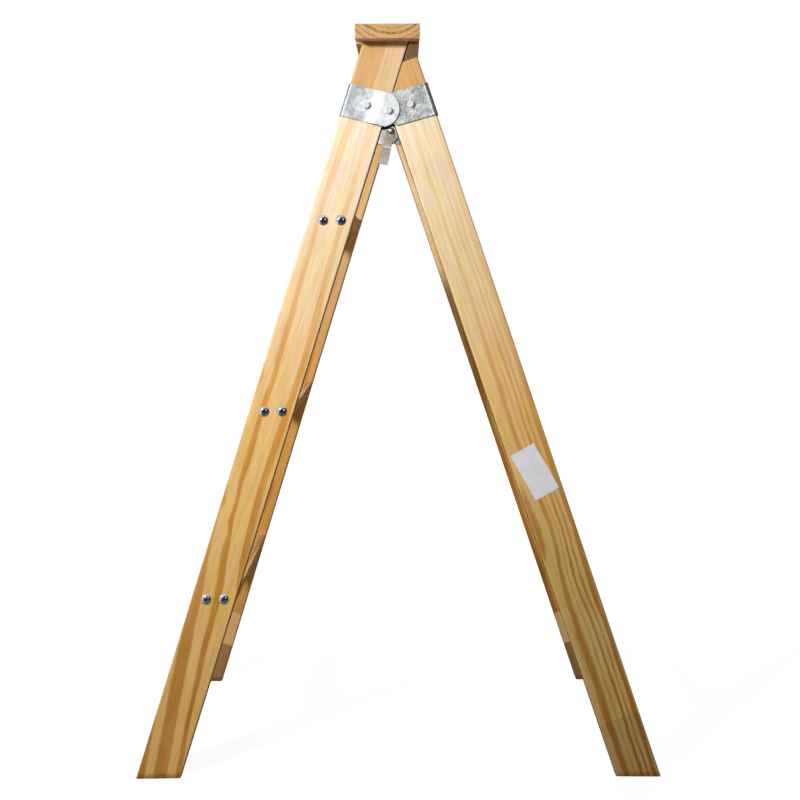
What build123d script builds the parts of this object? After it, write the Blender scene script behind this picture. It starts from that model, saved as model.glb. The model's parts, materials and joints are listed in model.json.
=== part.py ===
from build123d import *

import os
from math import cos, radians, sin, tan

# Folding wooden stepladder: a front frame with treads, and a rear frame that props it.
# +X points from the front (climbing) side to the rear, +Y to the left, +Z up.
# The origin is on the floor, in the middle of the footprint of the open ladder.
# Lengths are millimetres, angles are degrees.

# Overall layout
pivot_height = 1060.0
pivot_half_width = 158.5
front_lean = 17.8
rear_lean = 18.7
splay = 3.68

# Boards
stile_width = 68.0
stile_thickness = 22.0
stile_round = 3.0
stile_setback = 1.75
rear_stile_above_pivot = 63.5
stop_gap = 0.3

# Treads and cap
tread_tops = {"lower": 300.0, "middle": 600.0, "upper": 900.0}
tread_thickness = 22.0
tread_round = 2.0
tread_inset = 0.5
housing_depth = 6.0
cap_top_height = 1189.0
cap_thickness = 22.5
cap_width = 100.0
cap_length = 356.0
cap_offset = -1.0
cap_round = 1.5
cap_groove_depth = 5.0

# Rear rails
rail_heights = {"lower": 250.0, "upper": 690.0}
rail_width = 45.0
rail_thickness = 22.0
rail_setback = 34.0
tenon_length = 12.0
tenon_shoulder = 5.0

# Hinge brackets: folded sheet round the outer edge of each stile
sheet = 1.5
band_height = 52.0
band_tilt = 3.5
front_bracket_gap = 0.1
rear_bracket_gap = 0.7
leaf_gap = 1.0
bend_radius = 3.35
tongue_radius = 28.5
front_tongue_reach = 17.0
rear_tongue_reach = 9.0
joggle_start = 11.0
joggle_length = 5.0

# Hinge bolts
bolt_radius = 3.0
hex_across_flats = 10.0
hex_head_height = 4.0
hex_nut_height = 5.0
hex_chamfer_share = 0.95
running_clearance = 0.08
thread_clearance = 0.05
sheet_hole_clearance = 0.1
bolt_tail = 2.0
pivot_notch_radius = 3.6
pivot_bolt_reach = 36.0

# Tab under the left pivot nut
tab_width = 16.0
tab_eye_radius = 8.0
tab_straight = 29.0
tab_bent = 31.0
tab_bend = 12.0
tab_turn = 5.8
tab_bend_radius = 3.0
tab_gap = 0.05

# Tread bolts and their cylinder nuts
tread_bolt_radius = 3.0
tread_bolt_length = 58.0
tread_bolt_spacing = 28.0
tread_bolt_shift = 2.0
dome_radius = 8.3
dome_height = 4.2
socket_across_flats = 6.0
socket_depth = 2.8
cylinder_nut_radius = 5.0
cylinder_nut_length = 16.0
cylinder_nut_depth = 46.0
nut_slot_width = 1.2
nut_slot_depth = 1.2
tread_bolt_rise = 1.9

# Cap screws
screw_radius = 2.25
screw_head_radius = 4.5
screw_length = 60.0
screw_spacing = 36.0
recess_span = 4.0
recess_width = 1.1
recess_depth = 2.0

# Clearances between fixed pieces
wood_gap = 0.1
bolt_hole_clearance = 0.3
large = 3000.0


def reach(lean):
    """Horizontal distance from the pivot line to the outer toe of a stile."""
    return pivot_height * tan(radians(lean)) + (stile_setback + stile_width) / cos(radians(lean))


pivot_x = (reach(front_lean) - reach(rear_lean)) / 2

# Frame axes: origin on the pivot line, z up along the stiles, y along the pivot line.
front_axes = Pos(pivot_x, 0, pivot_height) * Rot(0, front_lean, 0)
rear_axes = Pos(pivot_x, 0, pivot_height) * Rot(0, -rear_lean, 0)

# Right stile axes: y = 0 on the outer face, y grows inwards, z up along the splayed stile.
stile_lift = Pos(0, -pivot_half_width, 0) * Rot(-splay, 0, 0)
front_stile_axes = front_axes * stile_lift
rear_stile_axes = rear_axes * stile_lift

# A piece built along +z, such as a bolt, turned to point inwards along +y.
pointing_in = Rot(-90, 0, 0)


def box_between(x, y, z):
    """Box from three (low, high) pairs."""
    centre = Pos(sum(x) / 2, sum(y) / 2, sum(z) / 2)
    return centre * Box(x[1] - x[0], y[1] - y[0], z[1] - z[0])


def upright_cylinder(radius, low, high):
    """Cylinder about z between two heights."""
    return Pos(0, 0, (low + high) / 2) * Cylinder(radius, high - low)


def level_slab(low, high):
    """Very wide level slab between two heights."""
    return box_between((-large, large), (-large, large), (low, high))


def left(piece):
    """Mirror image of a right-hand piece."""
    return mirror(piece, Plane.XZ)


def both_sides(pieces):
    """Right-hand pieces together with their mirror images, as separate solids."""
    return Compound(children=pieces + [left(piece) for piece in pieces])


def trim_ends(piece, axes, depth):
    """Cut a cross piece off parallel to the stiles, at a depth below their outer faces."""
    outside = axes * box_between((-large, large), (-large, depth), (-large, large))
    return piece - outside - left(outside)


def bolt_point(height, offset):
    """Right stile axes coordinates of a point on the outer face of the front stile.

    The height is above the floor, the offset is along X from the middle of the stile.
    """
    lean = radians(front_lean)
    rise = height - pivot_height
    middle = rise * tan(lean) - (stile_setback + stile_width / 2) / cos(lean)
    x = (middle + offset) * cos(lean) - rise * sin(lean)
    z = (middle + offset) * sin(lean) + rise * cos(lean)
    return x, z / cos(radians(splay))


def bolt_hole(place, radius):
    """Clearance hole for a bolt that goes right through a stile."""
    return place * upright_cylinder(radius + bolt_hole_clearance, -10, 60)


def pivot_cylinder(radius):
    """Long cylinder on the pivot line, for notches and pivot holes."""
    return Pos(pivot_x, 0, pivot_height) * Rot(90, 0, 0) * Cylinder(radius, 2 * pivot_half_width + 100)


def stile_blank(side):
    """Straight board with rounded long edges, in stile axes; side is -1 in front, +1 behind."""
    edges = sorted((side * stile_setback, side * (stile_setback + stile_width)))
    blank = box_between(edges, (0, stile_thickness), (-1300, 200))
    return fillet(blank.edges().filter_by(Axis.Z), stile_round)


def tread(top, grow=0.0):
    """Level tread, its long edges cut to the line of the stile edges, and its ends to the splay."""
    lean = radians(front_lean)

    def edge(height, from_pivot_line):
        run = (pivot_height - height) * tan(lean) + from_pivot_line / cos(lean)
        return pivot_x - run, height

    rear = stile_setback + tread_inset - grow
    front = stile_setback + stile_width - tread_inset + grow
    high = top + grow
    low = top - tread_thickness - grow
    outline = Polyline(edge(low, front), edge(high, front), edge(high, rear), edge(low, rear), close=True)
    bar = extrude(make_face(Plane.XZ * outline), 400, both=True)
    if grow == 0:
        bar = fillet(bar.edges().filter_by(Axis.Y), tread_round)
    return trim_ends(bar, front_stile_axes, stile_thickness - housing_depth - grow)


def tread_bolt_places(top):
    """Places of the two right-hand bolts of a tread, on the outer face of the stile."""
    places = []
    for offset in (-tread_bolt_spacing / 2, tread_bolt_spacing / 2):
        height = top - tread_thickness / 2 + tread_bolt_rise
        x, z = bolt_point(height, tread_bolt_shift + offset)
        places.append(front_stile_axes * Pos(x, 0, z) * pointing_in)
    return places


def cylinder_nut_place(bolt_place):
    """Upright place for a cylinder nut, where the bolt's axis passes through it."""
    return Pos((bolt_place * Pos(0, 0, cylinder_nut_depth)).position)


def dome_bolt():
    """Domed bolt with a hexagon socket; the underside of the head is at z = 0, the shank along +z."""
    sphere_radius = (dome_radius**2 + dome_height**2) / (2 * dome_height)
    head = Pos(0, 0, sphere_radius - dome_height) * Sphere(sphere_radius)
    head &= box_between((-20, 20), (-20, 20), (-dome_height, 0))
    shank = upright_cylinder(tread_bolt_radius, 0, tread_bolt_length)
    socket = RegularPolygon(socket_across_flats / 2, 6, major_radius=False)
    recess = Pos(0, 0, socket_depth - dome_height) * extrude(socket, -2 * dome_height)
    return head + shank - recess


def cylinder_nut(bolt_place):
    """Upright cylinder nut, bored across for its bolt, with a driver slot in its lower end."""
    blank = cylinder_nut_place(bolt_place) * Cylinder(cylinder_nut_radius, cylinder_nut_length)
    lower_end = cylinder_nut_place(bolt_place) * Pos(0, 0, -cylinder_nut_length / 2)
    slot = lower_end * Box(4 * cylinder_nut_radius, nut_slot_width, 2 * nut_slot_depth)
    bore = bolt_place * upright_cylinder(tread_bolt_radius + thread_clearance, 0, tread_bolt_length + 20)
    return blank - slot - bore


def hexagon(height):
    """Hexagon prism about z from 0 to a height, with its upper corners turned off."""
    prism = extrude(RegularPolygon(hex_across_flats / 2, 6, major_radius=False), height)
    top_radius = hex_chamfer_share * hex_across_flats / 2
    cone = Cone(top_radius + height * 3**0.5, top_radius, height)
    return prism & (Pos(0, 0, height / 2) * cone)


def hex_bolt(length):
    """Hexagon bolt; the underside of the head is at z = 0, the shank along +z."""
    head = Rot(180, 0, 0) * hexagon(hex_head_height)
    return head + upright_cylinder(bolt_radius, 0, length)


def hex_nut():
    """Hexagon nut from z = 0 up."""
    return hexagon(hex_nut_height) - upright_cylinder(bolt_radius + thread_clearance, -1, 20)


def bracket_bolt_place(axes, side):
    """Place of a bracket bolt on the outer face of a right stile, on the middle line of the band."""
    from_pivot = stile_setback + stile_width / 2
    drop = from_pivot * tan(radians(band_tilt))
    return axes * Pos(side * from_pivot, 0, -drop) * pointing_in


def band_outline(side, tongue_reach):
    """Side outline of a bracket: a band that ends past the pivot in a shallow round."""
    half = band_height / 2
    shoulder = tongue_reach - tongue_radius + (tongue_radius**2 - half**2) ** 0.5
    upper = Line((-120, half), (shoulder, half))
    end = ThreePointArc((shoulder, half), (tongue_reach, 0), (shoulder, -half))
    lower = Polyline((shoulder, -half), (-120, -half), (-120, half))
    outline = make_face(upper + end + lower)
    if side > 0:
        outline = mirror(outline, Plane.YZ)
    return Rot(0, 0, -side * band_tilt) * outline


def bracket(axes, side, gap, joggle, tongue_reach):
    """Sheet folded round the outer edge of a right stile, both leaves reaching past the pivot."""
    outer = -gap - sheet / 2
    inner = stile_thickness + gap + sheet / 2
    back = stile_setback + stile_width + gap + sheet / 2
    near = joggle_start + joggle_length
    path = [(40, outer - joggle), (-joggle_start, outer - joggle), (-near, outer), (-back, outer)]
    path += [(-back, inner), (-near, inner), (-joggle_start, inner + joggle), (40, inner + joggle)]
    if joggle == 0:
        path = [(40, outer), (-back, outer), (-back, inner), (40, inner)]
    path = [(-side * x, y) for x, y in path]
    folded = extrude(trace(FilletPolyline(*path, radius=bend_radius), sheet), 80, both=True)
    outline = extrude(Plane.XZ * band_outline(side, tongue_reach), 100, both=True)
    body = axes * (folded & outline)
    hole = bracket_bolt_place(axes, side) * upright_cylinder(bolt_radius + sheet_hole_clearance, -20, 60)
    return body - hole - pivot_cylinder(bolt_radius + running_clearance)


def front_bracket():
    """Front bracket, stepped out so that its tongues lie over those of the rear bracket."""
    joggle = rear_bracket_gap + sheet + leaf_gap - front_bracket_gap
    return bracket(front_stile_axes, -1, front_bracket_gap, joggle, front_tongue_reach)


def rear_bracket():
    """Rear bracket, with flat leaves."""
    return bracket(rear_stile_axes, 1, rear_bracket_gap, 0, rear_tongue_reach)


def bracket_bolt(axes, side, gap):
    """Bolt through a bracket and its stile, head outside."""
    length = stile_thickness + 2 * (gap + sheet) + hex_nut_height + bolt_tail
    return bracket_bolt_place(axes, side) * Pos(0, 0, -gap - sheet) * hex_bolt(length)


def bracket_nut(axes, side, gap):
    """Nut of a bracket bolt, against the inner leaf."""
    return bracket_bolt_place(axes, side) * Pos(0, 0, stile_thickness + gap + sheet) * hex_nut()


def leaf_distance(depth):
    """Distance from the middle plane to a level of the front leaf, on the pivot line."""
    return pivot_half_width - depth / cos(radians(splay))


def outer_leaf_level():
    """Depth of the outside of the front bracket's outer tongue; negative is outside the stile."""
    return -(rear_bracket_gap + sheet + leaf_gap + sheet)


def head_tilt():
    """How far a square head stands off the splayed leaf at its corner."""
    return hex_across_flats / 3**0.5 * tan(radians(splay)) + 0.02


def pivot_bolt():
    """Right pivot bolt on the pivot line, head outside."""
    head = leaf_distance(outer_leaf_level()) + head_tilt()
    place = Pos(pivot_x, -head, pivot_height) * pointing_in
    return place * hex_bolt(head - pivot_half_width + pivot_bolt_reach)


def pivot_nut(washer):
    """Right pivot nut, against the inner tongue or against a piece that lies on it."""
    level = stile_thickness - outer_leaf_level() + washer
    start = leaf_distance(level) - head_tilt()
    return Pos(pivot_x, -start, pivot_height) * pointing_in * hex_nut()


def hinge_tab():
    """Bent tab that hangs from the pivot, clamped under its nut; drawn for the right side."""
    level = stile_thickness - outer_leaf_level() + tab_gap + sheet / 2
    lean = radians(tab_bend)
    lower_end = (level + tab_bent * sin(lean), -tab_straight - tab_bent * cos(lean))
    path = FilletPolyline((level, 20), (level, -tab_straight), lower_end, radius=tab_bend_radius)
    strip = extrude(Plane.YZ * trace(path, sheet), tab_width, both=True)
    leg_length = tab_straight + tab_bent
    leg = Pos(0, -leg_length / 2) * Rectangle(tab_width, leg_length)
    outline = extrude(Plane.XZ * (Circle(tab_eye_radius) + leg), 100, both=True)
    tab = front_stile_axes * Rot(0, -tab_turn, 0) * (strip & outline)
    return tab - pivot_cylinder(bolt_radius + running_clearance)


def screw_places():
    """Places of the two right-hand cap screws, on the top of the cap."""
    middle_x, middle_z = bolt_point(cap_top_height - cap_thickness, 0)
    middle = (front_stile_axes * Pos(middle_x, stile_thickness / 2, middle_z)).position
    offsets = (-screw_spacing / 2, screw_spacing / 2)
    return [Pos(middle.X + offset, middle.Y, cap_top_height) for offset in offsets]


def screw_solid(grow=0.0, recess=True):
    """Countersunk wood screw, its head flush with z = 0 and its point down."""
    head = Pos(0, 0, -screw_head_radius / 2) * Cone(0.01, screw_head_radius + grow, screw_head_radius)
    shank = upright_cylinder(screw_radius + min(grow, thread_clearance), -screw_length, 0)
    screw = head + shank
    if recess:
        screw -= Box(recess_span, recess_width, 2 * recess_depth)
        screw -= Box(recess_width, recess_span, 2 * recess_depth)
    return screw


def front_stile():
    """Right front stile, housed for the treads and bored for the bolts."""
    stile = front_stile_axes * stile_blank(-1)
    stile -= level_slab(-large, 0)
    stile -= level_slab(cap_top_height - cap_thickness + cap_groove_depth, large)
    for top in tread_tops.values():
        stile -= tread(top, wood_gap)
        for place in tread_bolt_places(top):
            stile -= bolt_hole(place, tread_bolt_radius)
    stile -= bolt_hole(bracket_bolt_place(front_stile_axes, -1), bolt_radius)
    stile -= pivot_cylinder(pivot_notch_radius)
    for place in screw_places():
        stile -= place * upright_cylinder(screw_radius + thread_clearance, -screw_length - 1, 0)
    return stile


def rail(height, grow=0.0):
    """Rear rail between the stiles, with a stub tenon at each end."""
    middle_z = (height - pivot_height) / cos(radians(rear_lean))
    front = stile_setback + rail_setback
    shoulder = (front - grow, front + rail_thickness + grow)
    tall = (middle_z - rail_width / 2 - grow, middle_z + rail_width / 2 + grow)
    thin = (shoulder[0] + tenon_shoulder, shoulder[1] - tenon_shoulder)
    short = (tall[0] + tenon_shoulder, tall[1] - tenon_shoulder)
    body = rear_axes * box_between(shoulder, (-400, 400), tall)
    tenon = rear_axes * box_between(thin, (-400, 400), short)
    tenon = trim_ends(tenon, rear_stile_axes, stile_thickness - tenon_length - grow)
    if grow > 0:
        return tenon
    body = fillet(body.edges().filter_by(Axis.Y), tread_round)
    return trim_ends(body, rear_stile_axes, stile_thickness) + tenon


def rear_stile():
    """Right rear stile, bevelled above the pivot so that it stops against the front stile."""
    stile = rear_stile_axes * stile_blank(1)
    stile -= level_slab(-large, 0)
    stile -= rear_axes * level_slab(rear_stile_above_pivot, large)
    face = -stile_setback + stop_gap
    stile -= front_axes * box_between((-large, face), (-large, large), (-large, large))
    for height in rail_heights.values():
        stile -= rail(height, wood_gap)
    stile -= bolt_hole(bracket_bolt_place(rear_stile_axes, 1), bolt_radius)
    stile -= pivot_cylinder(pivot_notch_radius)
    return stile


def finished_tread(top):
    """Tread bored at each end for its bolts, and from below for their cylinder nuts."""
    piece = tread(top)
    cutters = []
    for place in tread_bolt_places(top):
        bore = upright_cylinder(tread_bolt_radius + bolt_hole_clearance, 0, tread_bolt_length + 2)
        well_top = cylinder_nut_length / 2 + bolt_hole_clearance
        well = upright_cylinder(cylinder_nut_radius + bolt_hole_clearance, -60, well_top)
        cutters.append(place * bore)
        cutters.append(cylinder_nut_place(place) * well)
    for cutter in cutters:
        piece -= cutter
        piece -= left(cutter)
    return piece


def top_cap():
    """Cap board, grooved underneath for the stile tops and bored for its screws."""
    x_middle = pivot_x + cap_offset
    x_range = (x_middle - cap_width / 2, x_middle + cap_width / 2)
    y_range = (-cap_length / 2, cap_length / 2)
    underside = cap_top_height - cap_thickness
    cap = box_between(x_range, y_range, (underside, cap_top_height))
    cap = fillet(cap.edges(), cap_round)
    width = (-wood_gap, stile_thickness + wood_gap)
    groove = front_stile_axes * box_between((-300, 300), width, (0, 300))
    groove &= level_slab(underside - 50, underside + cap_groove_depth)
    cap = cap - groove - left(groove)
    for place in screw_places():
        hole = place * screw_solid(bolt_hole_clearance, recess=False)
        cap = cap - hole - left(hole)
    return cap


def write(name, piece):
    """One file for each node."""
    piece.label = name
    export_step(piece, f"parts/{name}.step")


def write_pair(name, piece):
    """A right-hand piece and its mirror image as two nodes."""
    write(f"{name}_right", piece)
    write(f"{name}_left", left(piece))


def main():
    """Write every node of the ladder."""
    os.makedirs("parts", exist_ok=True)
    write_pair("front_stile", front_stile())
    write_pair("rear_stile", rear_stile())
    write("top_cap", top_cap())
    write("cap_screws", both_sides([place * screw_solid() for place in screw_places()]))
    for name, top in tread_tops.items():
        places = tread_bolt_places(top)
        write(f"{name}_tread", finished_tread(top))
        write(f"{name}_tread_bolts", both_sides([place * dome_bolt() for place in places]))
        write(f"{name}_tread_cylinder_nuts", both_sides([cylinder_nut(place) for place in places]))
    for name, height in rail_heights.items():
        write(f"{name}_rear_rail", rail(height))
    write_pair("front_bracket", front_bracket())
    write_pair("rear_bracket", rear_bracket())
    write("front_bracket_bolts", both_sides([bracket_bolt(front_stile_axes, -1, front_bracket_gap)]))
    write("front_bracket_nuts", both_sides([bracket_nut(front_stile_axes, -1, front_bracket_gap)]))
    write("rear_bracket_bolts", both_sides([bracket_bolt(rear_stile_axes, 1, rear_bracket_gap)]))
    write("rear_bracket_nuts", both_sides([bracket_nut(rear_stile_axes, 1, rear_bracket_gap)]))
    write_pair("pivot_bolt", pivot_bolt())
    write("pivot_nut_right", pivot_nut(0.0))
    write("pivot_nut_left", left(pivot_nut(tab_gap + sheet)))
    write("hinge_tab", left(hinge_tab()))


main()
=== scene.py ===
"""Looks of a folding wooden stepladder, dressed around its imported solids.

Lengths are metres in the row frame. Textures count in millimetres from a board's own zero.
"""
import json
import logging
import math
from dataclasses import dataclass, field, replace
from enum import Enum
from typing import Optional, Sequence, Union

import bmesh
import bpy
import numpy as np
from mathutils import Matrix, Vector


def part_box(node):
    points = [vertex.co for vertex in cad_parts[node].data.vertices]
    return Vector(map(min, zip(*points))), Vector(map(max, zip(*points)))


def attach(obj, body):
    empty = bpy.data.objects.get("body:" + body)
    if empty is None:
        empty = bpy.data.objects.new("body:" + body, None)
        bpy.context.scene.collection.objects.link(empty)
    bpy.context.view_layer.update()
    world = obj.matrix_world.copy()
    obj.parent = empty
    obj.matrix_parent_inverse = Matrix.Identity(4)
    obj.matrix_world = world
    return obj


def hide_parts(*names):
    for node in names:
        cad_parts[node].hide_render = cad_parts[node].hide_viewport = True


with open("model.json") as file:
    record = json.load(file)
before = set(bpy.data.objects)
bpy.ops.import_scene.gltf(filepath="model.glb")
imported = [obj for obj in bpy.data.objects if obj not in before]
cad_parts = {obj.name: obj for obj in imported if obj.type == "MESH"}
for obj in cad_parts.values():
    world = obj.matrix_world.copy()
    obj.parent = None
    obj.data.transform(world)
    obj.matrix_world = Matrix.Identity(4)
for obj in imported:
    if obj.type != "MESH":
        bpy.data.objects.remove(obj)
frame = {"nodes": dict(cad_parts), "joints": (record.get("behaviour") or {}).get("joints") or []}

LOG = logging.getLogger("stepladder")
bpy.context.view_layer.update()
MM = 0.001

Pair = tuple[float, float]
Triple = tuple[float, float, float]
Ramp = tuple[float, float, float, float]
Colour = tuple[float, float, float, float]
Reach = Union[float, np.ndarray]
Outline = list[tuple[Reach, Reach]]


class Side(Enum):
    """A side of the ladder, whose value is its sign along an axis."""

    @property
    def word(self) -> str:
        """The side's name in the names of nodes, bodies and pieces."""
        return self.name.lower()


class Row(Side):
    """The two leaning frames of the ladder; the sign is along X from the pivot line."""

    FRONT = -1
    REAR = 1


class Hand(Side):
    """The two sides of the ladder as the climber sees them; the sign is along Y."""

    RIGHT = -1
    LEFT = 1


def srgb(red: int, green: int, blue: int) -> Colour:
    """Turn a display colour into the linear colour that sockets hold.

    Args:
        red: red from 0 to 255.
        green: green from 0 to 255.
        blue: blue from 0 to 255.

    Returns:
        Linear red, green, blue and an alpha of 1.
    """
    shares = [channel / 255 for channel in (red, green, blue)]
    linear = [c / 12.92 if c <= 0.04045 else ((c + 0.055) / 1.055) ** 2.4 for c in shares]
    return (linear[0], linear[1], linear[2], 1.0)


WHITE = srgb(255, 255, 255)
DARK_SPECK_AND_SHADE = srgb(70, 74, 78)


@dataclass(frozen=True)
class Axes:
    """A place and three unit directions in the row frame, in metres."""

    origin: np.ndarray
    across: np.ndarray
    depth: np.ndarray
    along: np.ndarray

    def place(self, points: np.ndarray) -> np.ndarray:
        """Carry points, whose last axis holds across, depth and along, into the row frame."""
        return self.origin + points @ np.stack([self.across, self.depth, self.along])

    def turned(self, degrees: float) -> "Axes":
        """The same axes turned about along.

        Args:
            degrees: how far across turns towards depth.

        Returns:
            The turned axes.
        """
        cosine, sine = math.cos(math.radians(degrees)), math.sin(math.radians(degrees))
        across = cosine * self.across + sine * self.depth
        return Axes(self.origin, across, cosine * self.depth - sine * self.across, self.along)

    def standing(self, point: Sequence[float], way: int) -> "Axes":
        """Axes of a bolt or nut seated at a point of these axes, along depth (1) or against it (-1)."""
        return Axes(self.place(np.array(point)), self.across, self.along, way * self.depth)

    def handed(self) -> float:
        """1 for a right-handed set of directions, -1 for its mirror image."""
        return float(np.sign(np.dot(np.cross(self.across, self.depth), self.along)))

    def mapping(self) -> tuple[Triple, Triple]:
        """Mapping node values that take Object coordinates in millimetres into these axes.

        Returns:
            Location in millimetres and rotation in radians, with depth reversed in mirrored axes.
        """
        turn = Matrix([self.across, self.handed() * self.depth, self.along])
        shift = turn @ Vector(self.origin / MM)
        return tuple(-shift), tuple(turn.to_euler("XYZ"))


@dataclass(frozen=True)
class Layout:
    """Driving sizes of the ladder, in metres and degrees."""

    front_lean: float = 17.8
    rear_lean: float = 18.7
    splay: float = 3.68
    half_width: float = 158.5 * MM
    setback: float = 1.75 * MM
    stile_width: float = 68 * MM
    stile_thickness: float = 22 * MM
    tread_thickness: float = 22 * MM
    pivot: np.ndarray = field(default_factory=lambda: np.array(frame["joints"][0]["pos_m"]))

    def row_axes(self, row: Row) -> Axes:
        """Axes of a leaning frame: across points away from the other frame, along points up.

        Args:
            row: which frame.

        Returns:
            Axes with their origin in the middle of the pivot line.
        """
        lean = math.radians(self.front_lean if row is Row.FRONT else -self.rear_lean)
        along = np.array([math.sin(lean), 0.0, math.cos(lean)])
        across = row.value * np.array([math.cos(lean), 0.0, -math.sin(lean)])
        return Axes(self.pivot, across, np.array([0.0, 1.0, 0.0]), along)

    def stile_axes(self, row: Row, hand: Hand) -> Axes:
        """Axes of a splayed stile: zero is the outer face on the pivot line, depth points inwards.

        Args:
            row: front or rear frame.
            hand: right or left side.

        Returns:
            Axes with across pointing away from the other frame and along pointing up.
        """
        base = self.row_axes(row)
        splay = math.radians(self.splay)
        outward = float(hand.value) * base.depth
        along = math.cos(splay) * base.along - math.sin(splay) * outward
        inward = -math.cos(splay) * outward - math.sin(splay) * base.along
        return Axes(self.pivot + self.half_width * outward, base.across, inward, along)

    def cross_axes(self, node: str, pitch: float = 0.0) -> Axes:
        """Axes of a board that lies across the ladder, along Y.

        Args:
            node: name of the board's solid, whose box gives the middle.
            pitch: turn about Y in degrees.

        Returns:
            Axes with along pointing to the left of the ladder.
        """
        low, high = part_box(node)
        turn = math.radians(pitch)
        across = np.array([math.cos(turn), 0.0, -math.sin(turn)])
        along = np.array([0.0, 1.0, 0.0])
        return Axes(np.array((low + high) / 2), across, np.cross(along, across), along)

    def tread_bolt_point(self, height: float, offset: float) -> Triple:
        """Point on the outer face of a front stile, in the stile's axes.

        Args:
            height: height above the floor.
            offset: distance along X from the middle of the stile, towards the rear.

        Returns:
            Across, depth and along.
        """
        lean = math.radians(self.front_lean)
        rise = height - self.pivot[2]
        run = rise * math.tan(lean) - (self.setback + self.stile_width / 2) / math.cos(lean) + offset
        across = rise * math.sin(lean) - run * math.cos(lean)
        along = (run * math.sin(lean) + rise * math.cos(lean)) / math.cos(math.radians(self.splay))
        return (across, 0.0, along)


LAYOUT = Layout()


class Wire:
    """A value on its way through a shader tree, which takes plain arithmetic."""

    def __init__(self, make: "NodeMaker", socket: bpy.types.NodeSocket) -> None:
        """Keep an output socket and the maker of its tree."""
        self.make = make
        self.socket = socket

    def op(self, operation: str, *others: "Value", clamp: bool = False) -> "Wire":
        """Feed this value to a Math node.

        Args:
            operation: name of the node's operation.
            others: its further inputs, in order.
            clamp: keep the result from 0 to 1.

        Returns:
            The result.
        """
        return self.make.wire("Math", self, *others, operation=operation, use_clamp=clamp)

    def __add__(self, other: "Value") -> "Wire":
        """Sum."""
        return self.op("ADD", other)

    def __sub__(self, other: "Value") -> "Wire":
        """Difference."""
        return self.op("SUBTRACT", other)

    def __rsub__(self, other: float) -> "Wire":
        """Difference between a number and this value."""
        return self.make.wire("Math", other, self, operation="SUBTRACT")

    def __mul__(self, other: "Value") -> "Wire":
        """Product."""
        return self.op("MULTIPLY", other)

    def __truediv__(self, other: "Value") -> "Wire":
        """Quotient."""
        return self.op("DIVIDE", other)

    def __pow__(self, other: "Value") -> "Wire":
        """Power."""
        return self.op("POWER", other)

    def __neg__(self) -> "Wire":
        """The value with its sign turned."""
        return self.op("MULTIPLY", -1.0)

    def __abs__(self) -> "Wire":
        """The value without its sign."""
        return self.op("ABSOLUTE")

    def ease(self, low: "Value", high: "Value", to_low: float = 0.0, to_high: float = 1.0) -> "Wire":
        """Carry a range onto another with a smooth step, clamped at its ends."""
        return self.make.wire("MapRange", self, low, high, to_low, to_high, interpolation_type="SMOOTHSTEP")

    def carry(self, low: float, high: float, to_low: float = 0.0, to_high: float = 1.0) -> "Wire":
        """Carry a range onto another in a straight line, clamped at its ends."""
        return self.make.wire("MapRange", self, low, high, to_low, to_high, interpolation_type="LINEAR")

    def split(self) -> tuple["Wire", ...]:
        """The three components of a vector or a colour."""
        return tuple(Wire(self.make, out) for out in self.make.node("SeparateXYZ", self).outputs)


Value = Union[float, Wire]
Shade = Union[Colour, Wire]


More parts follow.
